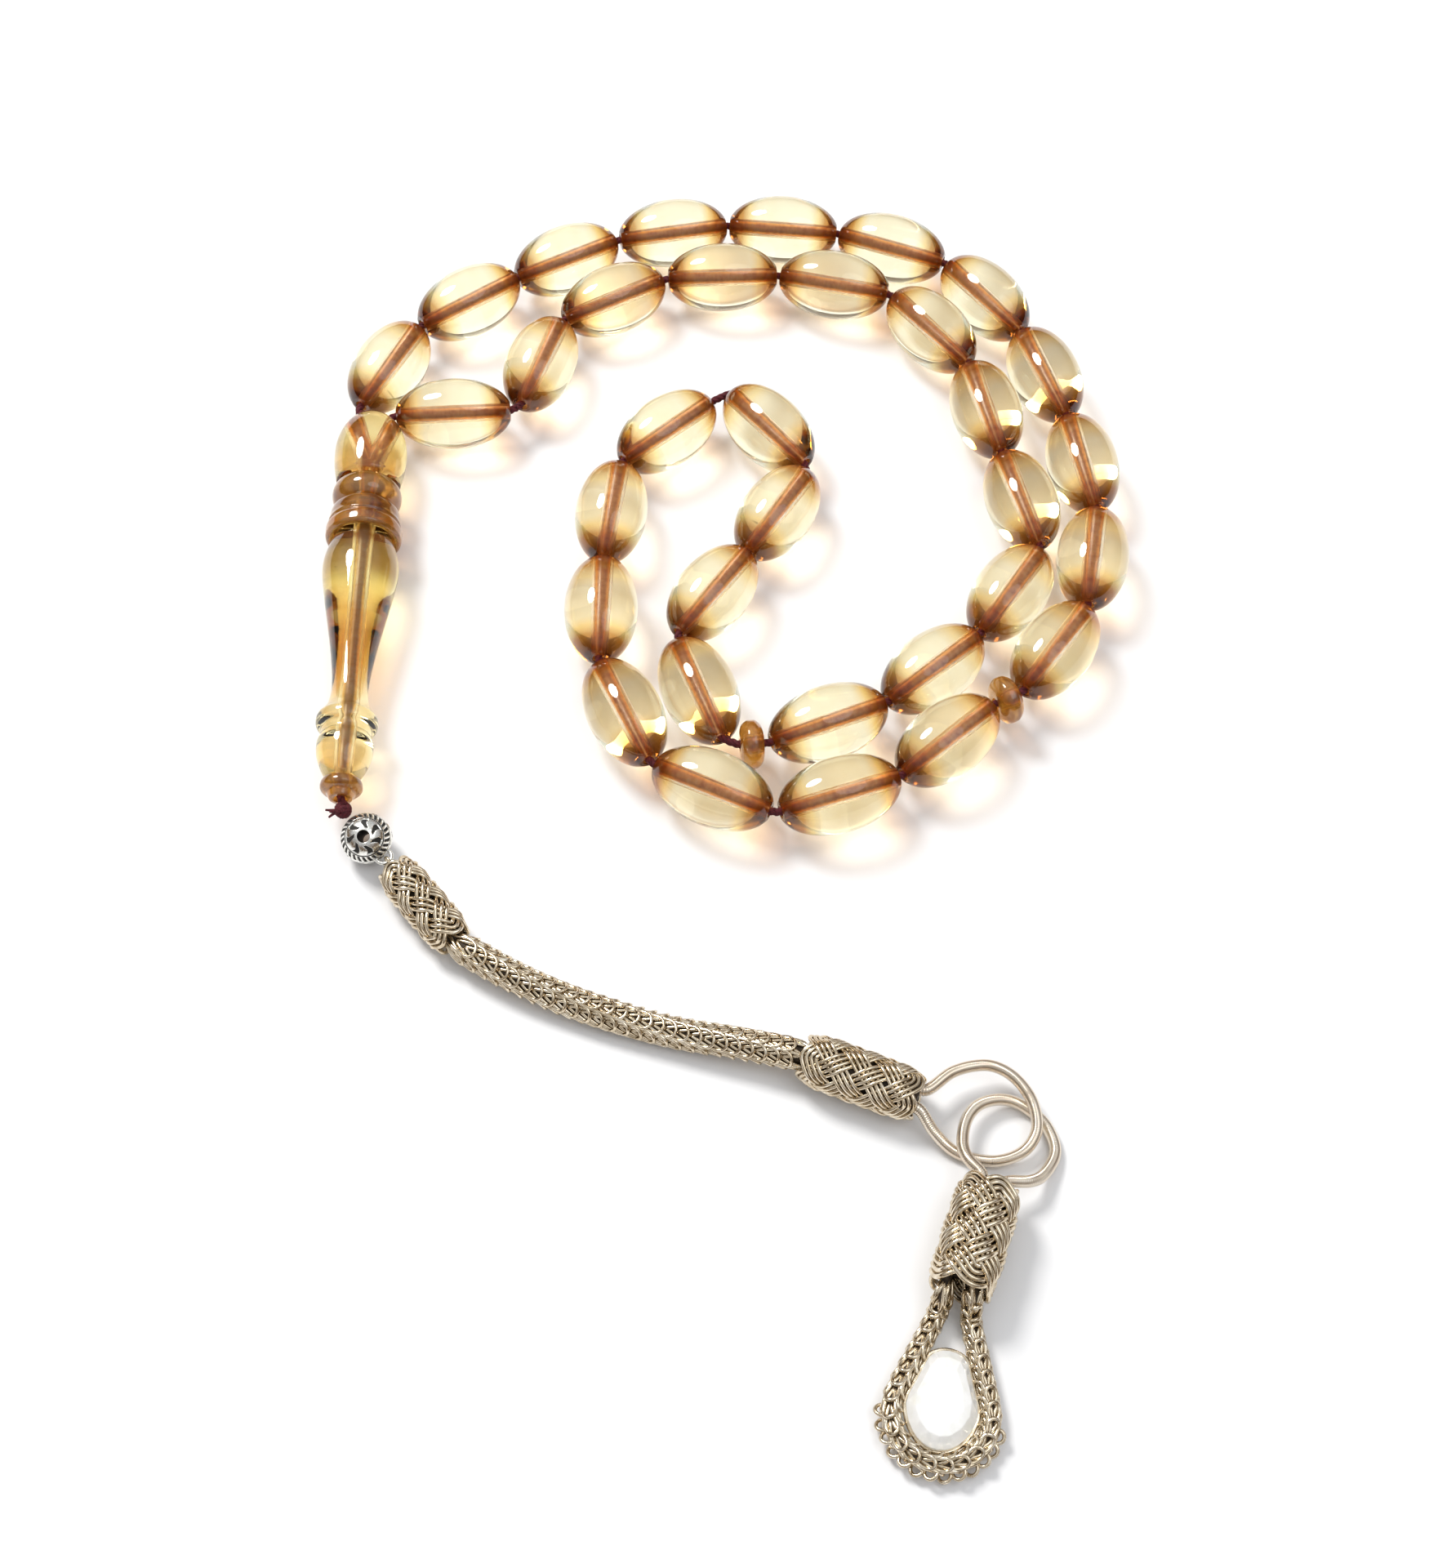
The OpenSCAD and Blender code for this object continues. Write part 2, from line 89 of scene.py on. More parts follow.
def smoothstep(x):
    """0 below 0, 1 above 1 and an even rise between."""
    x = np.clip(x, 0, 1)
    return x * x * (3 - 2 * x)


def heading(degrees):
    """A unit vector in plan."""
    a = math.radians(degrees)
    return np.array([math.cos(a), math.sin(a), 0.0])


def in_space(made):
    """Links an object into the scene and hands it back."""
    bpy.context.scene.collection.objects.link(made)
    return made


# -------- materials


def fill_ramp(bar, stops):
    """Gives a colour ramp its stops, as (place, colour)."""
    while len(bar.elements) < len(stops):
        bar.elements.new(0.5)
    for element, (place, colour) in zip(bar.elements, stops):
        element.position = place
        element.color = (*colour, 1.0)


class Look:
    """One node material: a Principled shader and short ways to feed it."""

    def __init__(self, name, **sockets):
        self.material = bpy.data.materials.new(name)
        self.material.use_nodes = True
        self.tree = self.material.node_tree
        self.shader = self.tree.nodes["Principled BSDF"]
        self.output = self.tree.nodes["Material Output"]
        for socket, value in sockets.items():
            self.shader.inputs[socket.replace("_", " ")].default_value = value

    def node(self, kind, values=(), **settings):
        made = self.tree.nodes.new(kind)
        for key, value in settings.items():
            setattr(made, key, value)
        for key, value in dict(values).items():
            made.inputs[key].default_value = value
        return made

    def link(self, a, b):
        self.tree.links.new(a, b)

    def coordinates(self):
        return self.node("ShaderNodeTexCoord").outputs["Object"]

    def coordinate(self, axis):
        xyz = self.node("ShaderNodeSeparateXYZ")
        self.link(self.coordinates(), xyz.inputs[0])
        return xyz.outputs[axis]

    def noise(self, scale, detail=3.0, rough=0.55, distortion=0.0):
        """Noise over the object's own metres; scale is features per millimetre."""
        n = self.node(
            "ShaderNodeTexNoise",
            {"Scale": scale / MM, "Detail": detail, "Roughness": rough, "Distortion": distortion},
        )
        self.link(self.coordinates(), n.inputs["Vector"])
        return n.outputs["Fac"]

    def math(self, operation, a, b=None, clamp=False):
        n = self.node("ShaderNodeMath", operation=operation, use_clamp=clamp)
        for socket, value in zip(n.inputs, (a, b)):
            if value is None:
                continue
            if isinstance(value, (int, float)):
                socket.default_value = value
            else:
                self.link(value, socket)
        return n.outputs[0]

    def span(self, value, low, high, to_low=0.0, to_high=1.0):
        """A smooth change from to_low to to_high as the value goes from low to high."""
        n = self.node("ShaderNodeMapRange", interpolation_type="SMOOTHSTEP")
        for socket, number in zip(n.inputs[1:5], (low, high, to_low, to_high)):
            socket.default_value = number
        self.link(value, n.inputs[0])
        return n.outputs[0]

    def ramp(self, factor, stops):
        n = self.node("ShaderNodeValToRGB")
        fill_ramp(n.color_ramp, stops)
        self.link(factor, n.inputs[0])
        return n.outputs[0]

    def mix(self, factor, a, b, blend="MIX"):
        n = self.node("ShaderNodeMix", data_type="RGBA", blend_type=blend)
        for socket, value in ((n.inputs[0], factor), (n.inputs[6], a), (n.inputs[7], b)):
            if isinstance(value, (int, float)):
                socket.default_value = value
            elif isinstance(value, tuple):
                socket.default_value = (*value, 1.0)
            else:
                self.link(value, socket)
        return n.outputs[2]

    def colour(self, source):
        self.link(source, self.shader.inputs["Base Color"])

    def bump(self, height, distance, strength=1.0):
        n = self.node("ShaderNodeBump", {"Strength": strength, "Distance": distance * MM})
        self.link(height, n.inputs["Height"])
        self.link(n.outputs[0], self.shader.inputs["Normal"])

    def clear_shadow(self, colour):
        """Lamps shine through, tinted, in place of caustics that a short render can't find."""
        path = self.node("ShaderNodeLightPath")
        through = self.node("ShaderNodeBsdfTransparent")
        through.inputs[0].default_value = (*colour, 1.0)
        mixer = self.node("ShaderNodeMixShader")
        self.link(path.outputs["Is Shadow Ray"], mixer.inputs[0])
        self.link(self.shader.outputs[0], mixer.inputs[1])
        self.link(through.outputs[0], mixer.inputs[2])
        self.link(mixer.outputs[0], self.output.inputs["Surface"])


def along_axis(look, half_length):
    """0 at a piece's middle and 1 at its two ends, along its own X."""
    return look.math("DIVIDE", look.math("ABSOLUTE", look.coordinate(0)), half_length * MM)


def specks(look, colour, dark, per_mm=0.5, size=0.05):
    """A few tiny dark inclusions."""
    cells = look.node("ShaderNodeTexVoronoi", {"Scale": per_mm / MM, "Randomness": 1.0})
    look.link(look.coordinates(), cells.inputs["Vector"])
    spot = look.span(cells.outputs["Distance"], size, size * 1.8, 1.0, 0.0)
    few = look.span(look.noise(0.23, 1.0), 0.56, 0.6)
    return look.mix(look.math("MULTIPLY", spot, few), colour, dark)


def glass_look(name, place, stops, shade):
    """Clear pressed glass, coloured by a ramp along the piece; on the round beads the ramp also holds painted
    shade at the ends.
    """
    look = Look(
        name, Roughness=0.02, IOR=1.5, Transmission_Weight=1.0, Coat_Weight=0.3, Coat_Roughness=0.02
    )
    wander = look.math("MULTIPLY", look.math("SUBTRACT", look.noise(0.35), 0.5), 0.12)
    tint_and_shade = look.ramp(look.math("ADD", place(look), wander), stops)
    cloud = look.ramp(look.noise(0.5, 4.0, 0.6, 0.4), [(0.35, WHITE), (0.75, (0.93, 0.86, 0.68))])
    clouded = look.mix(0.5, tint_and_shade, cloud, "MULTIPLY")
    look.colour(specks(look, clouded, (0.05, 0.02, 0.01)))
    look.bump(look.noise(0.7, 2.0), 0.012, 0.5)
    look.clear_shadow(shade)
    return look.material


def down_axis(look, start, length):
    """0 to 1 down the tall bead, from layout height start."""
    gone = look.math("SUBTRACT", (start + LAY_Y) * MM, look.coordinate(1))
    return look.math("DIVIDE", gone, length * MM)


def bore_look(name, low, middle, high, clear):
    """The frosted, thread-stained wall of a bore."""
    look = Look(name, Roughness=0.28, IOR=1.4, Transmission_Weight=clear)
    streaks = look.noise(1.6, 3.0)
    look.colour(look.ramp(streaks, [(0.3, low), (0.55, middle), (0.8, high)]))
    look.bump(streaks, 0.02, 0.5)
    look.clear_shadow((0.7, 0.5, 0.35))
    return look.material


def amber_look():
    """Cloudy ochre resin with darker and orange patches under a glossy skin."""
    look = Look(
        "cloudy_amber",
        Roughness=0.12,
        IOR=1.5,
        Transmission_Weight=0.72,
        Coat_Weight=0.7,
        Coat_Roughness=0.05,
    )
    patches = look.noise(0.3, 5.0, 0.62, 0.9)
    base = look.ramp(
        patches,
        [
            (0.3, (0.2, 0.06, 0.008)),
            (0.45, (0.48, 0.2, 0.025)),
            (0.58, (0.66, 0.34, 0.055)),
            (0.72, (0.62, 0.16, 0.015)),
        ],
    )
    veil = look.span(look.noise(1.1, 4.0, 0.7), 0.58, 0.75)
    veiled = look.mix(look.math("MULTIPLY", veil, 0.3), base, (0.9, 0.7, 0.36))
    look.colour(specks(look, veiled, (0.1, 0.03, 0.01), 0.9))
    look.bump(look.noise(1.3, 3.0), 0.015, 0.5)
    look.clear_shadow((0.42, 0.33, 0.24))
    return look.material


def thread_look():
    """Deep burgundy twisted yarn."""
    look = Look("thread", Roughness=0.8, Sheen_Weight=0.12, Sheen_Roughness=0.4)
    look.shader.inputs["Sheen Tint"].default_value = (0.75, 0.2, 0.2, 1.0)
    fibres = look.noise(5.0, 4.0, 0.7, 0.6)
    reds = [(0.3, (0.03, 0.002, 0.005)), (0.55, (0.1, 0.006, 0.013)), (0.8, (0.2, 0.018, 0.026))]
    look.colour(look.ramp(fibres, reds))
    look.bump(fibres, 0.05, 0.8)
    return look.material


def metal_look(name, dark, base, light, rough, grain=1.6):
    """Drawn or cast silver alloy with tarnish in patches."""
    look = Look(name, Metallic=1.0, Roughness=rough)
    patches = look.noise(grain, 4.0, 0.65, 0.3)
    look.colour(look.ramp(patches, [(0.25, dark), (0.5, base), (0.78, light)]))
    worn = look.span(look.noise(grain * 2.1, 3.0), 0.3, 0.75, rough * 0.75, min(1.0, rough * 1.6))
    look.link(worn, look.shader.inputs["Roughness"])
    look.bump(look.noise(grain * 5, 2.0), 0.012, 0.5)
    return look.material


def patina_and_shade_look(name, colour, lift):
    """Blackened recesses: oxide for the ball's engraving, and painted shade for the dark cores under the
    woven wire.
    """
    look = Look(name, Metallic=0.3, Roughness=0.6)
    look.colour(look.ramp(look.noise(2.5, 4.0), [(0.3, colour), (0.8, lift)]))
    look.bump(look.noise(6.0, 3.0), 0.02, 0.6)
    return look.material


def stone_look():
    """A clear cut stone over a bright foil."""
    look = Look(
        "crystal", Roughness=0.03, IOR=1.6, Transmission_Weight=0.3, Coat_Weight=0.8, Coat_Roughness=0.02
    )
    veins = look.noise(0.45, 4.0, 0.6)
    look.colour(look.ramp(veins, [(0.3, (0.93, 0.93, 0.88)), (0.5, WHITE), (0.8, (0.98, 0.98, 0.96))]))
    look.bump(look.noise(1.2, 2.0), 0.006, 0.4)
    look.clear_shadow((0.9, 0.9, 0.88))
    return look.material


# -------- mesh building


def frames_of(path, closed=False):
    """Tangent, normal and binormal along a path, turned as little as possible from point to point."""
    if closed:
        tangent = np.roll(path, -1, 0) - np.roll(path, 1, 0)
    else:
        tangent = np.gradient(path, axis=0)
    tangent /= np.linalg.norm(tangent, axis=1)[:, None] + 1e-12
    normal = np.empty_like(path)
    up = UP
    if abs(tangent[0] @ up) > 0.9:
        up = np.array([1.0, 0.0, 0.0])
    n = np.cross(up, tangent[0])
    for i, t in enumerate(tangent):
        n = n - (n @ t) * t
        n /= np.linalg.norm(n)
        normal[i] = n
    if closed:
        last = normal[-1] - (normal[-1] @ tangent[0]) * tangent[0]
        turn = math.atan2(np.cross(normal[0], last) @ tangent[0], normal[0] @ last)
        back = -turn * np.arange(len(path)) / len(path)
        side = np.cross(tangent, normal)
        normal = normal * np.cos(back)[:, None] + side * np.sin(back)[:, None]
    return tangent, normal, np.cross(tangent, normal)


def at_distances(wanted, gone, values):
    """Three-part values read off at the wanted distances along a line."""
    return np.column_stack([np.interp(wanted, gone, values[:, k]) for k in range(3)])


def resample(path, step, closed=False):
    """Points a set distance apart along a polyline."""
    path = np.asarray(path, float)
    if closed:
        path = np.vstack([path, path[:1]])
    gone = np.r_[0, np.cumsum(np.linalg.norm(np.diff(path, axis=0), axis=1))]
    count = max(3, int(round(gone[-1] / step)) + 1)
    made = at_distances(np.linspace(0, gone[-1], count), gone, path)
    return made[:-1] if closed else made


def catmull(points, steps):
    """A smooth line through the points, as the CAD source draws it."""
    p = np.asarray(points, float)
    q = np.vstack([p[:1], p, p[-1:]])
    made = []
    for i in range(len(p) - 1):
        a, b, c, d = q[i : i + 4]
        for s in range(steps):
            t = s / steps
            square = 2 * a - 5 * b + 4 * c - d
            cube = 3 * b - a - 3 * c + d
            made.append(0.5 * (2 * b + (c - a) * t + square * t**2 + cube * t**3))
    made.append(p[-1])
    return np.array(made)


def relaxed(path, rounds):
    """The path with its corners eased and its two ends kept."""
    path = path.copy()
    for _ in range(rounds):
        path[1:-1] = path[1:-1] / 2 + (path[:-2] + path[2:]) / 4
    return path


class Part:
    """Collects vertices and faces in millimetres, then makes one object."""

    def __init__(self):
        self.verts, self.faces, self.kinds, self.count = [], [], [], 0

    def add(self, verts, faces, kind=0):
        self.verts.append(np.asarray(verts, float))
        self.faces += [[i + self.count for i in f] for f in faces]
        self.kinds += [kind] * len(faces)
        self.count += len(verts)

    def tube(self, path, radius, sides=6, closed=False, kind=0, flat=1.0):
        """A round wire along a path. flat under 1 thins it across its normal."""
        path = np.asarray(path, float)
        _, normal, side = frames_of(path, closed)
        n = len(path)
        r = np.broadcast_to(radius, (n,))[:, None, None]
        a = TAU * np.arange(sides) / sides
        cosine, sine = np.cos(a)[None, :, None], np.sin(a)[None, :, None]
        ring = cosine * normal[:, None, :] + flat * sine * side[:, None, :]
        verts = (path[:, None, :] + r * ring).reshape(-1, 3)
        faces = []
        for i in range(n if closed else n - 1):
            j = (i + 1) % n
            for k in range(sides):
                m = (k + 1) % sides
                faces.append([i * sides + k, i * sides + m, j * sides + m, j * sides + k])
        if not closed:
            faces.append(list(range(sides))[::-1])
            faces.append([(n - 1) * sides + k for k in range(sides)])
        self.add(verts, faces, kind)

    def lathe(self, outline, kinds, sides=64, place=None):
        """A closed outline of [distance along +X, radius] turned about X. A radius of 0 is a pole.

        kinds gives each outline edge its material, as a list or as one number for all.
        """
        rings, verts = [], []
        a = TAU * np.arange(sides) / sides
        for x, r in outline:
            if r < 1e-6:
                rings.append([len(verts)])
                verts.append([x, 0.0, 0.0])
            else:
                rings.append(list(range(len(verts), len(verts) + sides)))
                verts += [[x, r * c, r * s] for c, s in zip(np.cos(a), np.sin(a))]
        verts = np.array(verts)
        if place is not None:
            verts = place(verts)
        for e, (lo, hi) in enumerate(zip(rings, rings[1:] + rings[:1])):
            kind = kinds[e] if isinstance(kinds, (list, tuple)) else kinds
            if len(lo) == 1 and len(hi) == 1:
                continue
            made = []
            for k in range(sides):
                m = (k + 1) % sides
                if len(lo) == 1:
                    made.append([lo[0], hi[m], hi[k]])
                elif len(hi) == 1:
                    made.append([lo[k], lo[m], hi[0]])
                else:
                    made.append([lo[k], lo[m], hi[m], hi[k]])
            self.faces += [[i + self.count for i in f] for f in made]
            self.kinds += [kind] * len(made)
        self.verts.append(verts)
        self.count += len(verts)

    def mesh(self, name, materials):
        made = bpy.data.meshes.new(name)
        made.from_pydata((np.vstack(self.verts) * MM).tolist(), [], self.faces)
        for material in materials:
            made.materials.append(material)
        made.polygons.foreach_set("material_index", self.kinds)
        made.polygons.foreach_set("use_smooth", [True] * len(made.polygons))
        outward = bmesh.new()
        outward.from_mesh(made)
        bmesh.ops.recalc_face_normals(outward, faces=outward.faces)
        outward.to_mesh(made)
        outward.free()
        made.update()
        return made


def piece(name, mesh, nodes, matrix=None):
    """Puts a mesh in the scene in place of its CAD nodes, riding on their body."""
    made = in_space(bpy.data.objects.new(name, mesh))
    if matrix is not None:
        made.matrix_world = matrix
    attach(made, body_of[nodes[0]])
    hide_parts(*nodes)


def line_place(origin, degrees, z):
    """Local X runs along a heading in plan from a point at height z; local Z stays up."""
    x = heading(degrees)
    y = heading(degrees + 90)
    start = np.array([origin[0], origin[1], z])
    return lambda v: start + v[:, :1] * x + v[:, 1:2] * y + v[:, 2:3] * UP


# -------- camera, floor and light

# The photograph's view: mostly from above, the tall bead to the left
VIEW_TURN, VIEW_DOWN, VIEW_ROLL = 2.702, 58.996, 2.5
VIEW_FROM = (-7.0, -125.93, 203.32)
LENS_MM = 56.21

camera_data = bpy.data.cameras.new("camera")
camera_data.sensor_fit = "HORIZONTAL"
camera_data.sensor_width = 36.0
camera_data.lens = LENS_MM
camera_data.clip_start = 0.01
camera_data.clip_end = 10.0
camera = in_space(bpy.data.objects.new("camera", camera_data))
turn, down, roll = (math.radians(a) for a in (VIEW_TURN, VIEW_DOWN, VIEW_ROLL))
ahead = Vector((math.sin(turn) * math.cos(down), math.cos(turn) * math.cos(down), -math.sin(down)))
right = Vector((math.cos(turn), -math.sin(turn), 0.0))
above = right.cross(ahead)
cam_x = math.cos(roll) * right + math.sin(roll) * above
cam_y = -math.sin(roll) * right + math.cos(roll) * above
pose = Matrix((cam_x, cam_y, -ahead)).transposed().to_4x4()
pose.translation = Vector(VIEW_FROM) * MM
camera.matrix_world = pose
bpy.context.scene.camera = camera

# The floor is in metres, and lies just under the beads
FLOOR_REACH = 1.5
FLOOR_Z = -0.00005
floor_look = Look("floor", Roughness=0.9)
floor_greys = [(0.3, (0.93, 0.93, 0.94)), (0.7, (0.96, 0.96, 0.965))]
floor_look.colour(floor_look.ramp(floor_look.noise(0.02, 2.0), floor_greys))
floor_corners = [(x * FLOOR_REACH, y * FLOOR_REACH, FLOOR_Z) for x, y in ((-1, -1), (1, -1), (1, 1), (-1, 1))]
floor_mesh = bpy.data.meshes.new("floor")
floor_mesh.from_pydata(floor_corners, [], [(0, 1, 2, 3)])
floor_mesh.materials.append(floor_look.material)
floor = in_space(bpy.data.objects.new("floor", floor_mesh))


def lamp(name, place, size, power, colour):
    """A round soft lamp over the table, in metres and watts, turned to the middle of the scene."""
    data = bpy.data.lights.new(name, "AREA")
    data.shape = "DISK"
    data.size = size
    data.energy = power
    data.color = colour
    made = in_space(bpy.data.objects.new(name, data))
    made.location = place
    made.rotation_euler = (-Vector(place)).to_track_quat("-Z", "Y").to_euler()


lamp("key", (-0.28, 0.3, 0.5), 0.22, 3.1, (1.0, 0.985, 0.96))
lamp("fill", (0.3, -0.1, 0.7), 0.5, 0.9, (0.93, 0.96, 1.0))

# The sky's colour by height: brown at and below the table's level, pale overhead
SKY_STOPS = (
    (0.0, (0.16, 0.09, 0.04)),
    (0.28, (0.24, 0.17, 0.11)),
    (0.48, (0.6, 0.6, 0.62)),
    (0.75, (0.96, 0.98, 1.0)),
)
SKY_STRENGTH = 0.72
world = bpy.data.worlds.new("studio")
bpy.context.scene.world = world
world.use_nodes = True
sky = world.node_tree
direction = sky.nodes.new("ShaderNodeTexCoord")
height = sky.nodes.new("ShaderNodeSeparateXYZ")
dome_light = sky.nodes.new("ShaderNodeValToRGB")
sky.links.new(direction.outputs["Generated"], height.inputs[0])
sky.links.new(height.outputs[2], dome_light.inputs[0])
sky.links.new(dome_light.outputs[0], sky.nodes["Background"].inputs[0])
fill_ramp(dome_light.color_ramp, SKY_STOPS)
sky.nodes["Background"].inputs[1].default_value = SKY_STRENGTH
bpy.context.scene.view_settings.view_transform = "Standard"
bpy.context.scene.view_settings.exposure = 0.0

# -------- shared materials

THREAD = thread_look()
BORE = bore_look("bore_wall", (0.66, 0.2, 0.03), (0.88, 0.38, 0.08), (0.95, 0.52, 0.16), 0.75)
PALE_BORE = bore_look("pale_bore_wall", (0.8, 0.52, 0.2), (0.93, 0.72, 0.4), (0.98, 0.86, 0.6), 0.85)
AMBER = amber_look()
SILVER = metal_look("engraved_silver", (0.6, 0.58, 0.5), (0.86, 0.85, 0.8), (1.0, 1.0, 0.97), 0.2)
OXIDE = patina_and_shade_look("oxide", (0.008, 0.008, 0.01), (0.05, 0.045, 0.035))
WEAVE = metal_look("woven_silver", (0.4, 0.31, 0.19), (0.72, 0.61, 0.45), (0.98, 0.91, 0.77), 0.18, 0.9)
# Painted shade: the dark cores under the woven wire stand in for the shade in the gaps between the wires
GAP_SHADE = patina_and_shade_look("gap_shadow", (0.02, 0.014, 0.008), (0.09, 0.06, 0.035))
WOUND = metal_look("wound_wire", (0.7, 0.58, 0.45), (0.8, 0.7, 0.57), (0.9, 0.82, 0.7), 0.16, 0.25)
STONE = stone_look()

# -------- beads

# The bore's radius, and the radius of a bead's blunt tip
BORE_R = 0.66
RIM_R = 1.0


def spin_of(node):
    """Centre and axis of a bead or spacer, in millimetres, and its half length and radius."""
    joint = joints[node + "_spin"]
    centre = np.array(joint["pos_m"]) / MM
    axis = np.array(joint["axis"], float)
    axis /= np.linalg.norm(axis)
    solid = frame["nodes"][node].data
    points = np.array([v.co for v in solid.vertices]) / MM - centre
    reach = points @ axis
    around = np.linalg.norm(points - reach[:, None] * axis, axis=1)
    return centre, axis, abs(reach).max(), around.max()


def bead_outline(half, radius):
    """A slim ellipse cut off at two small blunt tips, with the bore through it."""
    stretch = half / math.sqrt(1 - (RIM_R / radius) ** 2)
    t = np.linspace(-1, 1, 49)
    x = half * np.sin(t * math.pi / 2)
    outer = [[a, radius * math.sqrt(1 - (a / stretch) ** 2)] for a in x]
    outer[0], outer[-1] = [-half + 0.05, RIM_R], [half - 0.05, RIM_R]
    mouth = [[half, RIM_R - 0.1], [half, BORE_R + 0.06], [half - 0.07, BORE_R]]
    inner = [[a, BORE_R] for a in np.linspace(half - 0.6, -half + 0.6, 14)]
    outline = outer + mouth + inner + [[-a, r] for a, r in mouth[::-1]]
    kinds = [0] * (len(outer) + len(mouth) - 1) + [1] * (len(inner) + 1) + [0] * len(mouth)
    return outline, kinds


bead_nodes = sorted(n for n in frame["nodes"] if n.startswith("bead_"))
_, _, HALF, RADIUS = spin_of(bead_nodes[0])
PALE = (1.0, 0.98, 0.76)
HONEY = glass_look(
    "honey_bead",
    lambda look: along_axis(look, HALF),
    [
        (0.0, PALE),
        (0.48, PALE),
        (0.62, (0.97, 0.72, 0.26)),
        # Brown towards the ends: partly the glass's deeper tint, partly painted shade standing in for the
        # dark crescents refraction makes there
        (0.76, (0.46, 0.17, 0.025)),
        (0.94, (0.2, 0.055, 0.008)),
    ],
    (0.6, 0.54, 0.5),
)
shape = Part()
shape.lathe(*bead_outline(HALF, RADIUS), sides=64)
bead_mesh = shape.mesh("honey_bead", [HONEY, BORE])


def on_axis(centre, axis):
    """A matrix that lays local X on an axis and keeps local Z up."""
    x = Vector(axis)
    z = (Vector((0, 0, 1)) - x * x.z).normalized()
    m = Matrix((x, z.cross(x), z)).transposed().to_4x4()
    m.translation = Vector(centre) * MM
    return m


for node in bead_nodes:
    centre, axis, _, _ = spin_of(node)
    piece("honey_" + node, bead_mesh, [node], matrix=on_axis(centre, axis))

for node in ("spacer_1", "spacer_2"):
    centre, axis, half, radius = spin_of(node)
    side = [
        [-half, BORE_R],
        [-half, radius * 0.5],
        [-half * 0.82, radius * 0.78],
        [-half * 0.4, radius * 0.97],
    ]
    across = side + [[0, radius]] + [[-x, r] for x, r in side[::-1]]
    outline = catmull([[*p, 0] for p in across], 5)[:, :2]
    disc = Part()
    disc.lathe(outline.tolist(), [0] * (len(outline) - 1) + [1], sides=64)
    disc_mesh = disc.mesh("amber_" + node, [AMBER, BORE])
    piece("amber_" + node, disc_mesh, [node], matrix=on_axis(centre, axis))

# -------- tall bead

AXIS_Z = joints["collar_upper_spin"]["pos_m"][2] / MM
LAY_X = joints["collar_upper_spin"]["pos_m"][0] / MM
HEAD_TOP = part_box("imame_head")[1].y / MM
HEAD_TOP_Y = -0.8
LAY_Y = HEAD_TOP - HEAD_TOP_Y
LAY = np.array([LAY_X, LAY_Y, 0.0])


def lay(x, y, z):
    """A layout point, counted from the tall bead's axis, in the row frame."""
    return np.array([x, y, z]) + LAY


def down_the_bead(y):
    """Local X runs down the tall bead from layout height y."""
    return line_place(lay(0, y, 0), -90, AXIS_Z)


def node_span(node):
    """Layout height of a tall bead node's top, its length and its radius."""
    low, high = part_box(node)
    return high.y / MM - LAY_Y, (high.y - low.y) / MM, (high.x - low.x) / MM / 2


TALL_SHADE = (0.55, 0.48, 0.42)
HEAD_TINT = glass_look(
    "honey_head",
    lambda look: down_axis(look, HEAD_TOP_Y, 10.0),
    [
        (0.0, (0.82, 0.55, 0.2)),
        (0.2, (0.98, 0.85, 0.4)),
        (0.55, (1.0, 0.93, 0.5)),
        (0.8, (0.93, 0.68, 0.24)),
        (1.0, (0.62, 0.32, 0.08)),
    ],
    TALL_SHADE,
)
TALL = glass_look(
    "honey_tall",
    lambda look: down_axis(look, -18.0, 31.2),
    [
        (0.0, (0.66, 0.45, 0.14)),
        (0.08, (0.74, 0.52, 0.17)),
        (0.13, (1.0, 0.92, 0.45)),
        (0.28, (1.0, 0.9, 0.42)),
        (0.38, (0.78, 0.42, 0.08)),
        (0.58, (0.8, 0.46, 0.1)),
        (0.68, (0.98, 0.84, 0.46)),
        (0.88, (0.98, 0.84, 0.45)),
        (1.0, (0.8, 0.46, 0.11)),
    ],
    TALL_SHADE,
)

# The head: a dome with a barrel below it, and two bores that meet in a wider well
top, long, radius = node_span("imame_head")
widest = 0.58 * long
fade = 0.82 * long
dome = [[widest * (1 - math.cos(a)), radius * math.sin(a)] for a in np.linspace(0, math.pi / 2, 24)]
below = np.linspace(0, long - widest, 12)[1:]
barrel = [[widest + s, radius * math.sqrt(1 - (s / fade) ** 2)] for s in below]
edge = barrel[-1][1]
head = Part()
head.lathe(dome + barrel + [[long, edge - 0.25], [long, 0.0]], 0, sides=96, place=down_the_bead(top))
head_piece = in_space(bpy.data.objects.new("tall_head", head.mesh("tall_head", [HEAD_TINT, BORE])))
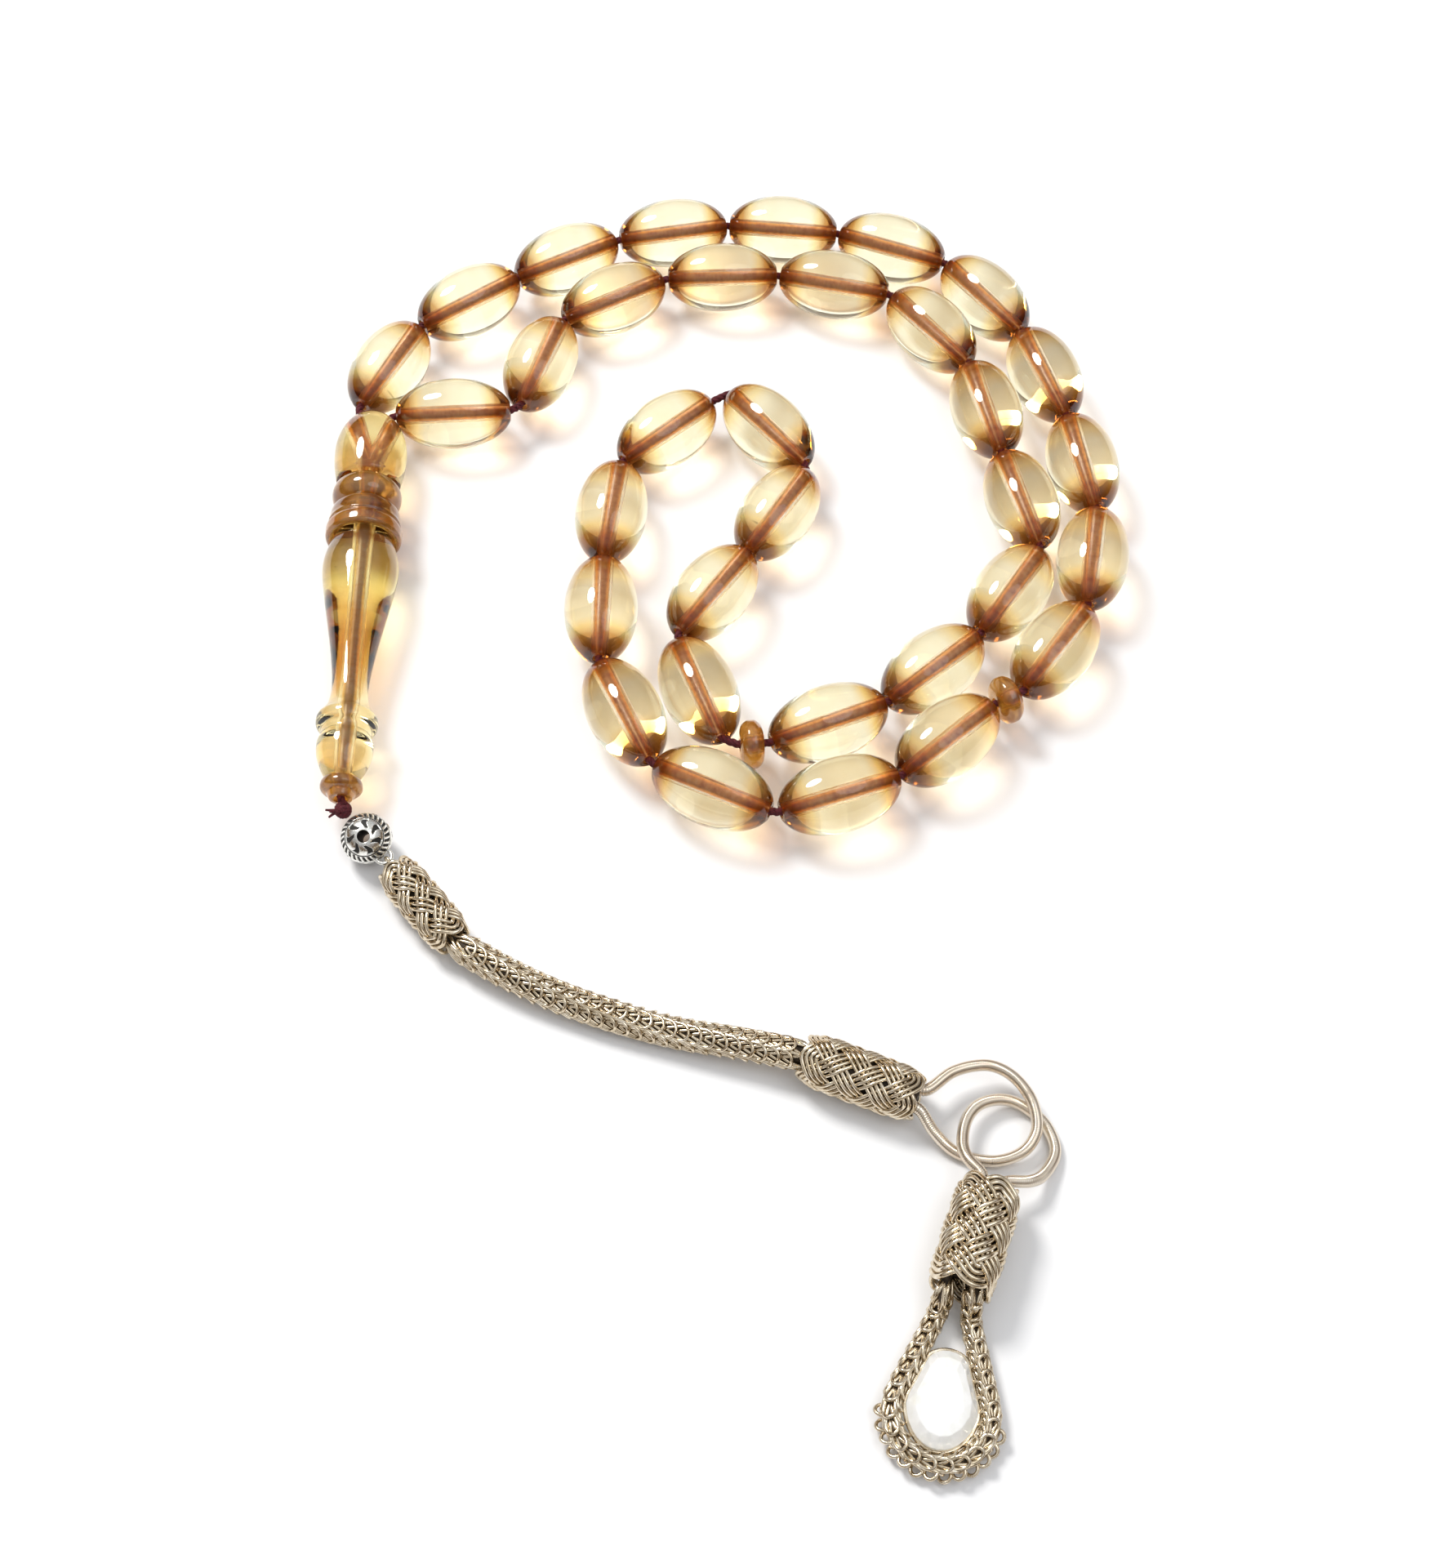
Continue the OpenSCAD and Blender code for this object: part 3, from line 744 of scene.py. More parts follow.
# Where the two bores meet, and where each leaves the dome
JOIN_Y = -9.4
EXITS = ((-1.9, 0.2), (1.9, -0.8))
WELL_R = 1.1
cutters = []
for x, y in EXITS:
    start = lay(0, JOIN_Y, AXIS_Z)
    end = lay(x, y, AXIS_Z)
    away = (end - start) / np.linalg.norm(end - start)
    tool = Part()
    tool.tube(np.array([start, start + away * 4, end + away * 2]), BORE_R, 40, kind=1)
    cutters.append(tool)
well = Part()
well_line = np.array([lay(0, JOIN_Y + deeper, AXIS_Z) for deeper in (0.9, -0.5, -4)])
well.tube(well_line, WELL_R, 40, kind=1)
cutters.append(well)
for tool in cutters:
    cutter = in_space(bpy.data.objects.new("cutter", tool.mesh("cutter", [HEAD_TINT, BORE])))
    cut = head_piece.modifiers.new("bore", "BOOLEAN")
    cut.operation = "DIFFERENCE"
    cut.solver = "EXACT"
    cut.object = cutter
    bpy.context.view_layer.update()
    bored = bpy.data.meshes.new_from_object(head_piece.evaluated_get(bpy.context.evaluated_depsgraph_get()))
    head_piece.modifiers.clear()
    head_piece.data = bored
    bpy.data.objects.remove(cutter)
head_mesh = head_piece.data
bpy.data.objects.remove(head_piece)
piece("tall_head", head_mesh, ["imame_head"])


def turned_piece(name, node, looks, outline, kinds, sides=96):
    """A piece of the tall bead, turned about its axis from the node's top down."""
    made = Part()
    made.lathe(outline, kinds, sides=sides, place=down_the_bead(top))
    piece(name, made.mesh(name, looks), [node])


# The two collars
top, long, radius = node_span("collar_upper")
ARC = 1.4
bulge = [
    [long / 2 + long / 2 * math.sin(a) / math.sin(ARC), radius - long * 0.42 * (1 - math.cos(a))]
    for a in np.linspace(-ARC, ARC, 25)
]
outline = [[0, BORE_R]] + bulge + [[long, BORE_R]]
kinds = [0] * (len(bulge) + 1) + [1]
turned_piece("amber_collar_upper", "collar_upper", [AMBER, BORE], outline, kinds)

top, long, radius = node_span("collar_lower")
DISH = 0.8
DISH_R = radius * 0.82
# Shares of the length and of the radius down the collar's side
side = [
    [0, 0.8], [0.1, 0.88], [0.25, 0.915], [0.4, 0.93], [0.5, 0.95], [0.55, 0.925],
    [0.6, 0.955], [0.7, 1.0], [0.85, 0.995], [0.94, 0.98], [1.0, 0.92],
]
outside = catmull([[long * x, radius * r, 0] for x, r in side], 4)[:, :2].tolist()
dish = [[long, radius * 0.84], [long - 0.15, DISH_R], [long - DISH, DISH_R], [long - DISH, BORE_R]]
outline = [[0, BORE_R]] + outside + dish
kinds = [0] * (len(outside) + len(dish)) + [1]
turned_piece("amber_collar_lower", "collar_lower", [AMBER, BORE], outline, kinds)

# The turned body, with its ring, groove and cup
top, long, radius = node_span("imame_body")
wider = radius / 4.15
longer = long / 31.2
turned = [
    [0, 2.9], [1.4, 3.5], [4.6, 4.15], [8.8, 3.6], [15, 2.5], [19.6, 1.95],
    [22, 2.15], [23.3, 2.75], [23.9, 3.2], [24.5, 3.26], [25.0, 3.1], [25.4, 2.65],
    [26.0, 2.55], [26.5, 2.8], [27.2, 2.97], [28.6, 2.85], [30.2, 2.3], [31.2, 1.7],
]
outside = catmull([[x * longer, r * wider, 0] for x, r in turned], 5)[:, :2].tolist()
inner = [[x, BORE_R] for x in np.linspace(long, 0, 24)]
kinds = [0] * len(outside) + [1] * (len(inner) - 1) + [0]
turned_piece("tall_body", "imame_body", [TALL, PALE_BORE], outside + inner, kinds)

# The small disc below the body
top, long, radius = node_span("end_disc")
side = [
    [0, 0.75], [0.12, 0.93], [0.3, 1.0], [0.5, 0.99], [0.64, 0.86], [0.72, 0.7], [0.85, 0.62], [1.0, 0.55],
]
outside = catmull([[long * x, radius * r, 0] for x, r in side], 5)[:, :2].tolist()
outline = [[0, BORE_R]] + outside + [[long, BORE_R]]
kinds = [0] * (len(outside) + 1) + [1]
turned_piece("amber_end_disc", "end_disc", [AMBER, BORE], outline, kinds, sides=64)

# -------- thread

THREAD_D = 0.9
PLY_R = 0.24
PLY_TURN = 2.1
# How far inside a bead's mouth the thread leaves the bore's axis
MOUTH_IN = 0.2


def yarn(part, path, ease=3):
    """Three plies twisted round the path."""
    line = relaxed(resample(path, 0.16), ease)
    _, normal, side = frames_of(line)
    gone = np.r_[0, np.cumsum(np.linalg.norm(np.diff(line, axis=0), axis=1))]
    for ply in range(3):
        a = TAU * (gone / PLY_TURN + ply / 3)
        offset = (THREAD_D / 2 - PLY_R) * (np.cos(a)[:, None] * normal + np.sin(a)[:, None] * side)
        part.tube(line + offset, PLY_R, 7)


def numbered(numbers):
    return ["bead_%02d" % n for n in numbers]


# What each half of the loop passes through, from the tall bead to the far end
STRAND_A = numbered(range(1, 12)) + ["spacer_1"] + numbered(range(12, 19))
STRAND_B = numbered(range(33, 22, -1)) + ["spacer_2"] + numbered(range(22, 18, -1))


def strand(nodes):
    """The points where a strand turns, from before its first piece to past its last."""
    ends = []
    for node in nodes:
        centre, axis, half, _ = spin_of(node)
        ends.append((centre - axis * half, centre + axis * half, axis))
    first, last = ends[0], ends[-1]
    between = [(a[1] + b[0]) / 2 for a, b in zip(ends, ends[1:])]
    return [first[0] - first[2] * 0.5] + between + [last[1] + last[2] * 0.3]


# The runs of thread on each body: down each bore on that body, with the turning points between
threads = {}
for nodes in (STRAND_A, STRAND_B):
    points = strand(nodes)
    for i, node in enumerate(nodes):
        holder = joints[node + "_spin"]["parent"]
        centre, axis, half, _ = spin_of(node)
        runs = threads.setdefault(holder, {}).setdefault(nodes[0], [points[i]])
        in_bore = axis * (half - MOUTH_IN)
        runs += [centre - in_bore, centre + in_bore, points[i + 1]]

fold_count = sum(1 for name in joints if name.startswith("loop_fold_"))
for holder, runs in threads.items():
    yarns = Part()
    if holder == "loop_section_%d" % fold_count:
        run_a, run_b = runs[STRAND_A[0]], runs[STRAND_B[0]]
        yarn(yarns, np.array(run_a + run_b[::-1]))
        nodes = ["thread_section_%d" % fold_count]
    elif holder == "tall_bead":
        join = lay(0, JOIN_Y, AXIS_Z)
        for run in runs.values():
            yarn(yarns, np.array([join] + run))
        # The stem ends just inside the knot's top
        knot_low, knot_high = (np.array(corner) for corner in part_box("knot"))
        tail = (knot_low + knot_high) / 2
        tail[1] = knot_high[1] - 0.0003
        yarn(yarns, np.array([join, lay(0, -49, AXIS_Z), lay(0, -51.4, AXIS_Z), tail / MM]))
        nodes = ["thread_stem"]
    else:
        for run in runs.values():
            yarn(yarns, np.array(run))
        nodes = ["thread_section_" + holder.rsplit("_", 1)[1]]
    piece("yarn_" + nodes[0], yarns.mesh("yarn_" + nodes[0], [THREAD]), nodes)

# The knot: the yarn wound over itself five times and pulled tight
low, high = (np.array(corner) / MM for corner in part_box("knot"))
middle, knot_r = (low + high) / 2, (high[0] - low[0]) / 2
knot = Part()
TURNS = ((0, 0), (38, 55), (75, 120), (110, 20), (150, 80))
TURN_STEPS = 40
for tilt, spin in TURNS:
    a = np.linspace(0, TAU, TURN_STEPS, endpoint=False)
    ring = np.column_stack([np.cos(a), np.sin(a), 0.18 * np.sin(3 * a)]) * (knot_r - 0.3)
    tip = Matrix.Rotation(math.radians(spin), 3, "Z") @ Matrix.Rotation(math.radians(tilt), 3, "X")
    path = ring @ np.array(tip).T + middle
    _, normal, side = frames_of(path, True)
    for ply in range(3):
        b = TAU * (7 * np.arange(TURN_STEPS) / TURN_STEPS + ply / 3)
        aside = 0.12 * (np.cos(b)[:, None] * normal + np.sin(b)[:, None] * side)
        knot.tube(path + aside, 0.18, 6, closed=True)
# The three cut ends, each with its heading and how it curls up or down
CUT_ENDS = ((186, 0.1), (194, -0.35), (203, 0.3))
for number, (degrees, curl) in enumerate(CUT_ENDS):
    out = np.linspace(0.3, 1.75 - 0.2 * number, 8)[:, None]
    cut_end = middle + out * heading(degrees) + out**2 * [0, 0, curl]
    knot.tube(cut_end, np.linspace(0.24, 0.12, 8), 6)
heart = [[-0.5, 0.0], [-0.35, 0.35], [0, 0.5], [0.35, 0.35], [0.5, 0.0]]
knot.lathe(heart, 0, 16, place=lambda v: v + middle)
piece("yarn_knot", knot.mesh("yarn_knot", [THREAD]), ["knot"])

# -------- tassel layout

BALL_HEADING = -48
BALL_D = 5.3
# The ball's soldered ring, the first sleeve's eye, and the wire of both
RING_R = 0.8
EYE_R = 0.6
RING_WIRE = 0.4
SLEEVE_1 = dict(length=11.0, diameter=4.8, heading=-51)
SLEEVE_2 = dict(length=12.2, diameter=5.6, heading=-22)
SLEEVE_3 = dict(length=11.4, diameter=6.6, heading=-110)
CHAIN_HEADINGS = (-32, -25, -20, -16, -13, -14)
CHAIN_STEP = 6.1
CHAIN_D = 3.4
# The wound loops' wire in the CAD, and the distance between a loop's feet
WIRE_D = 1.05
FOOT_W = 2.2
knot_at = middle - LAY
ball_at = np.array([knot_at[0], knot_at[1], 0]) + (knot_r + BALL_D / 2 + 0.1) * heading(BALL_HEADING)
ball_at[2] = BALL_D / 2
ring_at = ball_at + (BALL_D / 2 + 0.2) * heading(BALL_HEADING)
link_at = ring_at + 0.25 * heading(SLEEVE_1["heading"])
sleeve_1_at = link_at + 2 * EYE_R * heading(SLEEVE_1["heading"])
chain_at = [sleeve_1_at + SLEEVE_1["length"] * heading(SLEEVE_1["heading"])]
for degrees in CHAIN_HEADINGS:
    chain_at.append(chain_at[-1] + CHAIN_STEP * heading(degrees))
rise_1, rise_2, rest = SLEEVE_1["diameter"] / 2, SLEEVE_2["diameter"] / 2, CHAIN_D / 2
levels = [rise_1, (rise_1 + rest) / 2, rest, rest, rest, (rise_2 + rest) / 2, rise_2]
chain_at = [np.array([p[0], p[1], z]) for p, z in zip(chain_at, levels)]
sleeve_2_end = chain_at[-1] + SLEEVE_2["length"] * heading(SLEEVE_2["heading"])
sleeve_3_at = sleeve_2_end + np.array([6.3, -8.6, 0.0])
sleeve_3_end = sleeve_3_at + SLEEVE_3["length"] * heading(SLEEVE_3["heading"])
PENDANT_HEADING = -101
pendant_at = sleeve_3_end + 0.2 * heading(PENDANT_HEADING)

# -------- silver ball


def engraving(latitude, longitude):
    """True where the ball is cut and blackened: two rope rings, and scrolls between them and the poles."""
    strokes = np.sin(26 * longitude + 9.0 * latitude)
    band = np.minimum(abs(latitude - 0.52), abs(latitude + 0.52))
    rope = (band < 0.15) & (strokes > -0.15)
    line = abs(band - 0.2) < 0.018
    petals = (abs(latitude) > 0.8) & (abs(latitude) < 1.2)
    scroll = petals & (np.sin(7 * longitude + 3.2 * np.sin(5 * latitude)) > 0.35)
    belt = (abs(latitude) < 0.24) & (np.sin(9 * longitude) * np.cos(13 * latitude) > 0.5)
    return rope | line | scroll | belt


ball = Part()
BALL_RINGS = 150
BALL_SIDES = 256
CUT_DEPTH = 0.09
BALL_BORE = math.asin(BORE_R / (BALL_D / 2))
lat = np.linspace(-math.pi / 2 + BALL_BORE, math.pi / 2 - BALL_BORE, BALL_RINGS)
lon = TAU * np.arange(BALL_SIDES) / BALL_SIDES
grid_lat, grid_lon = np.meshgrid(lat, lon, indexing="ij")
cut_in = np.where(engraving(grid_lat, grid_lon), CUT_DEPTH, 0.0)
r = BALL_D / 2 - 0.01 - cut_in
level_r = r * np.cos(grid_lat)
shell = np.stack([level_r * np.cos(grid_lon), level_r * np.sin(grid_lon), r * np.sin(grid_lat)], -1)
BALL_TIP = np.array(Matrix.Rotation(math.radians(25), 3, "X"))
inner_z = np.linspace(1, -1, 6)[1:-1] * shell[-1, 0, 2]
bore = [[[BORE_R * math.cos(a), BORE_R * math.sin(a), z] for a in lon] for z in inner_z]
rows = np.concatenate([shell, np.array(bore)])
count = len(rows)
verts = rows.reshape(-1, 3) @ BALL_TIP.T + lay(*ball_at)
# Faces in the cuts and in the bore are blackened
faces, kinds = [], []
face_lat, face_lon = (lat[:-1] + lat[1:]) / 2, lon + TAU / BALL_SIDES / 2
dark = engraving(*np.meshgrid(face_lat, face_lon, indexing="ij"))
for i in range(count):
    j = (i + 1) % count
    for q in range(BALL_SIDES):
        s = (q + 1) % BALL_SIDES
        faces.append([i * BALL_SIDES + q, i * BALL_SIDES + s, j * BALL_SIDES + s, j * BALL_SIDES + q])
        kinds.append(1 if i >= BALL_RINGS - 1 or dark[i, q] else 0)
ball.add(verts, faces)
ball.kinds = kinds


def circle(centre, radius, x, y, steps=40):
    """Points round a circle in the plane of x and y."""
    a = TAU * np.arange(steps)[:, None] / steps
    return centre + radius * (np.cos(a) * x + np.sin(a) * y)


ball.tube(circle(lay(*ring_at), RING_R, heading(0), heading(90)), RING_WIRE / 2, 12, closed=True)
piece("engraved_ball", ball.mesh("engraved_ball", [SILVER, OXIDE]), ["silver_ball"])

# -------- woven sleeves


def turks_head(part, place, length, diameter, shape, leads, bights, wires, wire_d, pitch):
    """A closed woven tube: one strand of parallel wires that goes over and under itself.

    leads and bights have no common factor, so the strand passes everywhere before it closes.
    """
    steps = leads * bights * 22
    t = TAU * np.arange(steps) / steps
    # 1 would turn each bight in a point
    sharp = 0.96
    wave = np.arcsin(sharp * np.cos(bights * t)) / math.asin(sharp)
    theta = leads * t
    margin = (wires - 1) / 2 * pitch + wire_d / 2
    s = length / 2 + (length / 2 - margin) * wave
    mean_r = diameter / 2 - wire_d
    ds = (np.roll(s, -1) - np.roll(s, 1)) / 2
    du = mean_r * TAU * leads / steps * np.ones(steps)
    size = np.hypot(ds, du)
    across = np.column_stack([-du / size, ds / size])
    weave = np.cos(leads * bights * t) * np.clip(-np.sin(bights * t) * 2.5, -1, 1)
    for w in range(wires):
        off = (w - (wires - 1) / 2) * pitch
        here = s + across[:, 0] * off
        angle = theta + across[:, 1] * off / mean_r
        r = diameter / 2 * shape(here / length) - wire_d + wire_d / 2 * weave
        local = np.column_stack([here, r * np.cos(angle), r * np.sin(angle)])
        part.tube(place(local), wire_d / 2, 7, closed=True)


def open_shape(u):
    """A sleeve's radius where it is drawn in at its start only."""
    return 1 - 0.17 * np.abs(2 * np.minimum(u, 0.5) - 1) ** 5 - 0.02 * np.maximum(0, 2 * u - 1) ** 4


def barrel_shape(u):
    """A sleeve's radius along its length: full in the middle, drawn in at both ends."""
    return 1 - 0.17 * np.abs(2 * u - 1) ** 5


def sleeve(name, node, at, size, weave, core, shape=barrel_shape, extra=None):
    """A woven sleeve over a dark core, painted shade for the gaps between its wires, that fills it from
    core[0] to core[1] along its length.
    """
    length, diameter, degrees = size["length"], size["diameter"], size["heading"]
    part = Part()
    place = line_place(lay(*at), degrees, diameter / 2)
    turks_head(part, place, length, diameter, shape, **weave)
    inner = diameter / 2 - 2 * weave["wire_d"] - 0.05
    outline = [[x, inner * shape(x / length)] for x in np.linspace(core[0], core[1], 14)]
    # The dark core is painted shade, standing in for the shade in the gaps between the wires
    part.lathe([[core[0], 0.0]] + outline + [[core[1], 0.0]], 1, 32, place=place)
    if extra:
        extra(part)
    piece(name, part.mesh(name, [WEAVE, GAP_SHADE]), [node])


def eye(part):
    """The first sleeve's ring, linked with the ball's."""
    degrees = SLEEVE_1["heading"]
    centre = lay(*(sleeve_1_at + (0.1 - EYE_R) * heading(degrees)))
    part.tube(circle(centre, EYE_R, heading(degrees), UP), RING_WIRE / 2, 12, closed=True)


WEAVE_1 = dict(leads=7, bights=5, wires=3, wire_d=0.44, pitch=0.54)
WEAVE_2 = dict(leads=7, bights=5, wires=4, wire_d=0.4, pitch=0.48)
WEAVE_3 = dict(leads=6, bights=5, wires=4, wire_d=0.5, pitch=0.6)
sleeve("weave_sleeve_1", "sleeve_1", sleeve_1_at, SLEEVE_1, WEAVE_1, (0.25, 8.9), extra=eye)
sleeve("weave_sleeve_2", "sleeve_2", chain_at[-1], SLEEVE_2, WEAVE_2, (2.1, 11.9))
sleeve("weave_sleeve_3", "sleeve_3", sleeve_3_at, SLEEVE_3, WEAVE_3, (0.3, 9.4), shape=open_shape)

# -------- knitted chain


def knit(parts, line, radius, columns, pitch, reach, wire_d, twist=0.0, squash=(1.0, 1.0), start=0.0):
    """Loop-in-loop stitches round a line: each loop's foot is tucked under the loops before it.

    pitch is from one row to the next, and reach the length of a loop. Where there are several
    parts, each takes an equal share of the length.
    """
    _, normal, side = frames_of(line)
    gone = np.r_[0, np.cumsum(np.linalg.norm(np.diff(line, axis=0), axis=1))]
    whole = gone[-1]
    rows = int(round((whole - reach) / pitch))
    pitch = (whole - reach) / rows
    u = TAU * np.arange(20) / 20
    up = (1 - np.cos(u)) / 2
    for row in range(rows + 1):
        part = parts[min(len(parts) - 1, len(parts) * row // (rows + 1))]
        for column in range(columns):
            s = (row + 0.5 * (column % 2) * (row < rows)) * pitch + reach * up
            s = np.minimum(s, whole)
            wide = math.pi / columns * 1.3
            swing = wide * np.sin(u) * (0.2 + 0.9 * up)
            angle = start + TAU * column / columns + swing + twist * s / whole
            at, n, b = (at_distances(s, gone, values) for values in (line, normal, side))
            big = np.broadcast_to(radius(s / whole) if callable(radius) else radius, s.shape)
            r = big - wire_d / 2 - 1.5 * wire_d * (1 - up) ** 1.5
            ring = (r * np.cos(angle) * squash[0])[:, None] * n
            ring = ring + (r * np.sin(angle) * squash[1])[:, None] * b
            part.tube(at + ring, wire_d / 2, 6, closed=True)


CHAIN_IN = 2.0
in_sleeve_1 = chain_at[0] - CHAIN_IN * heading(SLEEVE_1["heading"])
in_sleeve_2 = chain_at[-1] + CHAIN_IN * heading(SLEEVE_2["heading"])
route = catmull([in_sleeve_1] + chain_at + [in_sleeve_2], 12) + LAY
route = relaxed(resample(route, 0.3), 12)
halfway = len(route) // 2
chain_length = np.linalg.norm(np.diff(route, axis=0), axis=1).sum()


def chain_radius(u):
    """Narrower where the chain is inside a sleeve."""
    from_end = np.minimum(u, 1 - u) * chain_length
    return (CHAIN_D / 2) * (1 - 0.22 * smoothstep(1.6 - from_end / CHAIN_IN))


upper_chain, lower_chain = Part(), Part()
knit([upper_chain, lower_chain], route, chain_radius, 5, 1.3, 3.9, 0.36, twist=2.4, start=0.3)
core_r = np.array([0.6 * chain_radius(u) for u in np.linspace(0, 1, len(route))])
# The upper piece runs up to the route's middle point and the lower piece on from it
UPPER = slice(None, halfway + 1)
LOWER = slice(halfway, None)
FIRST_BEND = ("upper_sleeve", "chain_middle")
SECOND_BEND = ("chain_middle", "lower_sleeve")
for name, chain, share, pair, joint, nodes in (
    ("chain_upper", upper_chain, UPPER, FIRST_BEND, "chain_bend_1", ("chain_1", "chain_2")),
    ("chain_lower", lower_chain, LOWER, SECOND_BEND, "chain_bend_2", ("chain_3",)),
):
    run = route[share]
    # The dark core tube is painted shade for the gaps between the stitches
    chain.tube(run, core_r[share], 12, kind=1)
    made = in_space(bpy.data.objects.new(name, chain.mesh(name, [WEAVE, GAP_SHADE])))
    bend = np.array(joints[joint]["pos_m"]) / MM
    nearest = int(np.argmin(np.linalg.norm(run - bend, axis=1)))
    ahead_of = run[nearest + 3] - run[nearest - 3]
    ahead_of /= np.linalg.norm(ahead_of)
    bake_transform(made)
    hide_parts(*nodes)

# -------- wound wire loops

# Each loop's points: along and across from its sleeve's end, and how many wires up it passes
LOOP_1 = [
    [2, 3.9, 1.6], [4.4, 5.7, 1.5], [6.4, 6.1, 1.35], [8.4, 5.5, 1.2], [10.3, 3.9, 1.1], [11.4, 1.6, 0.8],
    [10.9, -0.7, 0.5], [8.9, -2.4, 0.2], [6.4, -3, 0], [4.4, -2.9, 0.05], [2.2, -2.2, 0.8],
]
LOOP_2 = [
    [1.6, 2.9, 1.8], [3.2, 3.8, 1.4], [5.6, 4.1, 1.15], [7.6, 3.5, 0.9], [9, 2, 0.6], [9.6, 0.2, 0.25],
    [9.3, -1.7, 0], [8.3, -3.5, 0], [6.1, -4.9, 0], [3.4, -4.5, 0.5], [1.7, -3.4, 1.3],
]
STEP_UP = WIRE_D + 0.3
# The finished wire, and the fine wire wound on its core
WOUND_D = 1.22
COIL_D = 0.2
COIL_STEPS = 12


def loop_route(at, degrees, foot_z, route):
    """A loop's centre line: its feet are in the sleeve, and it rests on the table where its level is 0."""
    foot = (foot_z - WIRE_D / 2) / STEP_UP
    feet_in = [[-1.2, FOOT_W / 2, foot], [0.3, FOOT_W / 2, foot]]
    feet_out = [[0.3, -FOOT_W / 2, foot], [-1.2, -FOOT_W / 2, foot]]
    smooth = catmull(feet_in + route + feet_out, 8)
    z = WIRE_D / 2 + np.maximum(0, smooth[:, 2]) * STEP_UP
    along, across = heading(degrees), heading(degrees + 90)
    flat = lay(at[0], at[1], 0) + smooth[:, :1] * along + smooth[:, 1:2] * across
    flat[:, 2] = z
    return flat


def wound_loop(name, node, at, degrees, foot_z, route):
    """A loop of core wire with fine wire close-wound on it."""
    line = relaxed(resample(loop_route(at, degrees, foot_z, route), 0.12), 4)
    line[:, 2] += (WOUND_D - WIRE_D) / 2
    part = Part()
    part.tube(line, WOUND_D / 2 - COIL_D * 0.25, 20)
    fine = resample(line, COIL_D * 1.08 / COIL_STEPS)
    _, normal, side = frames_of(fine)
    a = TAU * np.arange(len(fine)) / COIL_STEPS
    coil_r = (WOUND_D - COIL_D) / 2
    coil = fine + coil_r * (np.cos(a)[:, None] * normal + np.sin(a)[:, None] * side)
    part.tube(coil, COIL_D / 2, 6)
    piece(name, part.mesh(name, [WOUND]), [node])


wound_loop("wound_loop_1", "loop_1", sleeve_2_end, SLEEVE_2["heading"], rise_2, LOOP_1)
rise_3 = SLEEVE_3["diameter"] / 2
wound_loop("wound_loop_2", "loop_2", sleeve_3_at, SLEEVE_3["heading"] + 180, rise_3, LOOP_2)

# -------- pendant

PENDANT_L, PENDANT_W, PENDANT_T = 16.0, 11.0, 2.4
RIM_W = 2.0
NECK_R = 2.9
STONE_GAP = 0.15
OUTLINE_STEPS = 160
in_pendant = line_place(lay(pendant_at[0], pendant_at[1], 0), PENDANT_HEADING, 0)


def pendant_outline(grow):
    """A pear: a big circle and a small one under one tight band, [along, across] from the neck."""
    big_x, big_r = PENDANT_L - PENDANT_W / 2, PENDANT_W / 2
    lean = math.asin((big_r - NECK_R) / (big_x - NECK_R))
    a = np.linspace(-math.pi / 2 - lean, math.pi / 2 + lean, OUTLINE_STEPS // 2)
    b = np.linspace(math.pi / 2 + lean, 3 * math.pi / 2 - lean, OUTLINE_STEPS // 3)
    big = [[big_x + (big_r + grow) * math.cos(t), (big_r + grow) * math.sin(t)] for t in a]
    small = [[NECK_R + (NECK_R + grow) * math.cos(t), (NECK_R + grow) * math.sin(t)] for t in b]
    return np.array([[*p, 0.0] for p in big + small])


# The rim goes round the outline's big arc, and its two legs run up into the third sleeve
rim = Part()
big_arc = pendant_outline(-RIM_W / 2)[: OUTLINE_STEPS // 2]
leg = [[-1.8, 1.2, 0], [-0.6, 1.25, 0], [0.6, 1.38, 0], [2.25, 1.79, 0]]
rim_route = [[x, -y, z] for x, y, z in leg] + list(big_arc) + leg[::-1]
rim_line = relaxed(resample(rim_route, 0.25), 8)
lift = smoothstep(-rim_line[:, :1] / 1.6 + 0.9) * (rise_3 - PENDANT_T / 2)
rim_line = in_pendant(rim_line + lift * [0, 0, 1] + [0, 0, PENDANT_T / 2])
knit([rim], rim_line, RIM_W / 2 + 0.1, 4, 1.45, 3.0, 0.42, squash=(1.0, 1.1), start=0.5)
# The dark core under the stitches is painted shade for the gaps between them
rim.tube(rim_line, RIM_W / 2 - 0.5, 12, kind=1, flat=1.25)
# Turned-out stitches along the lower edge, each leaning back a little
STITCH_R = 0.62
LEAN = 0.5
edge = [p for p in resample(pendant_outline(-0.1), 1.25, True) if p[0] > PENDANT_L - 5.2]
for k, p in enumerate(edge):
    out = p - np.array([PENDANT_L - PENDANT_W / 2, 0, 0])
    out /= np.linalg.norm(out)
    out_row = in_pendant(np.array([p + out, p]))
    out_row = out_row[0] - out_row[1]
    centre = in_pendant(np.array([p + [0, 0, PENDANT_T * (0.32 if k % 2 else 0.5)]]))[0]
    leaning = (np.cross(UP, out_row) + LEAN * UP) / math.hypot(1, LEAN)
    rim.tube(circle(centre - 0.05 * out_row, STITCH_R, out_row, leaning, 20), 0.19, 6, closed=True)

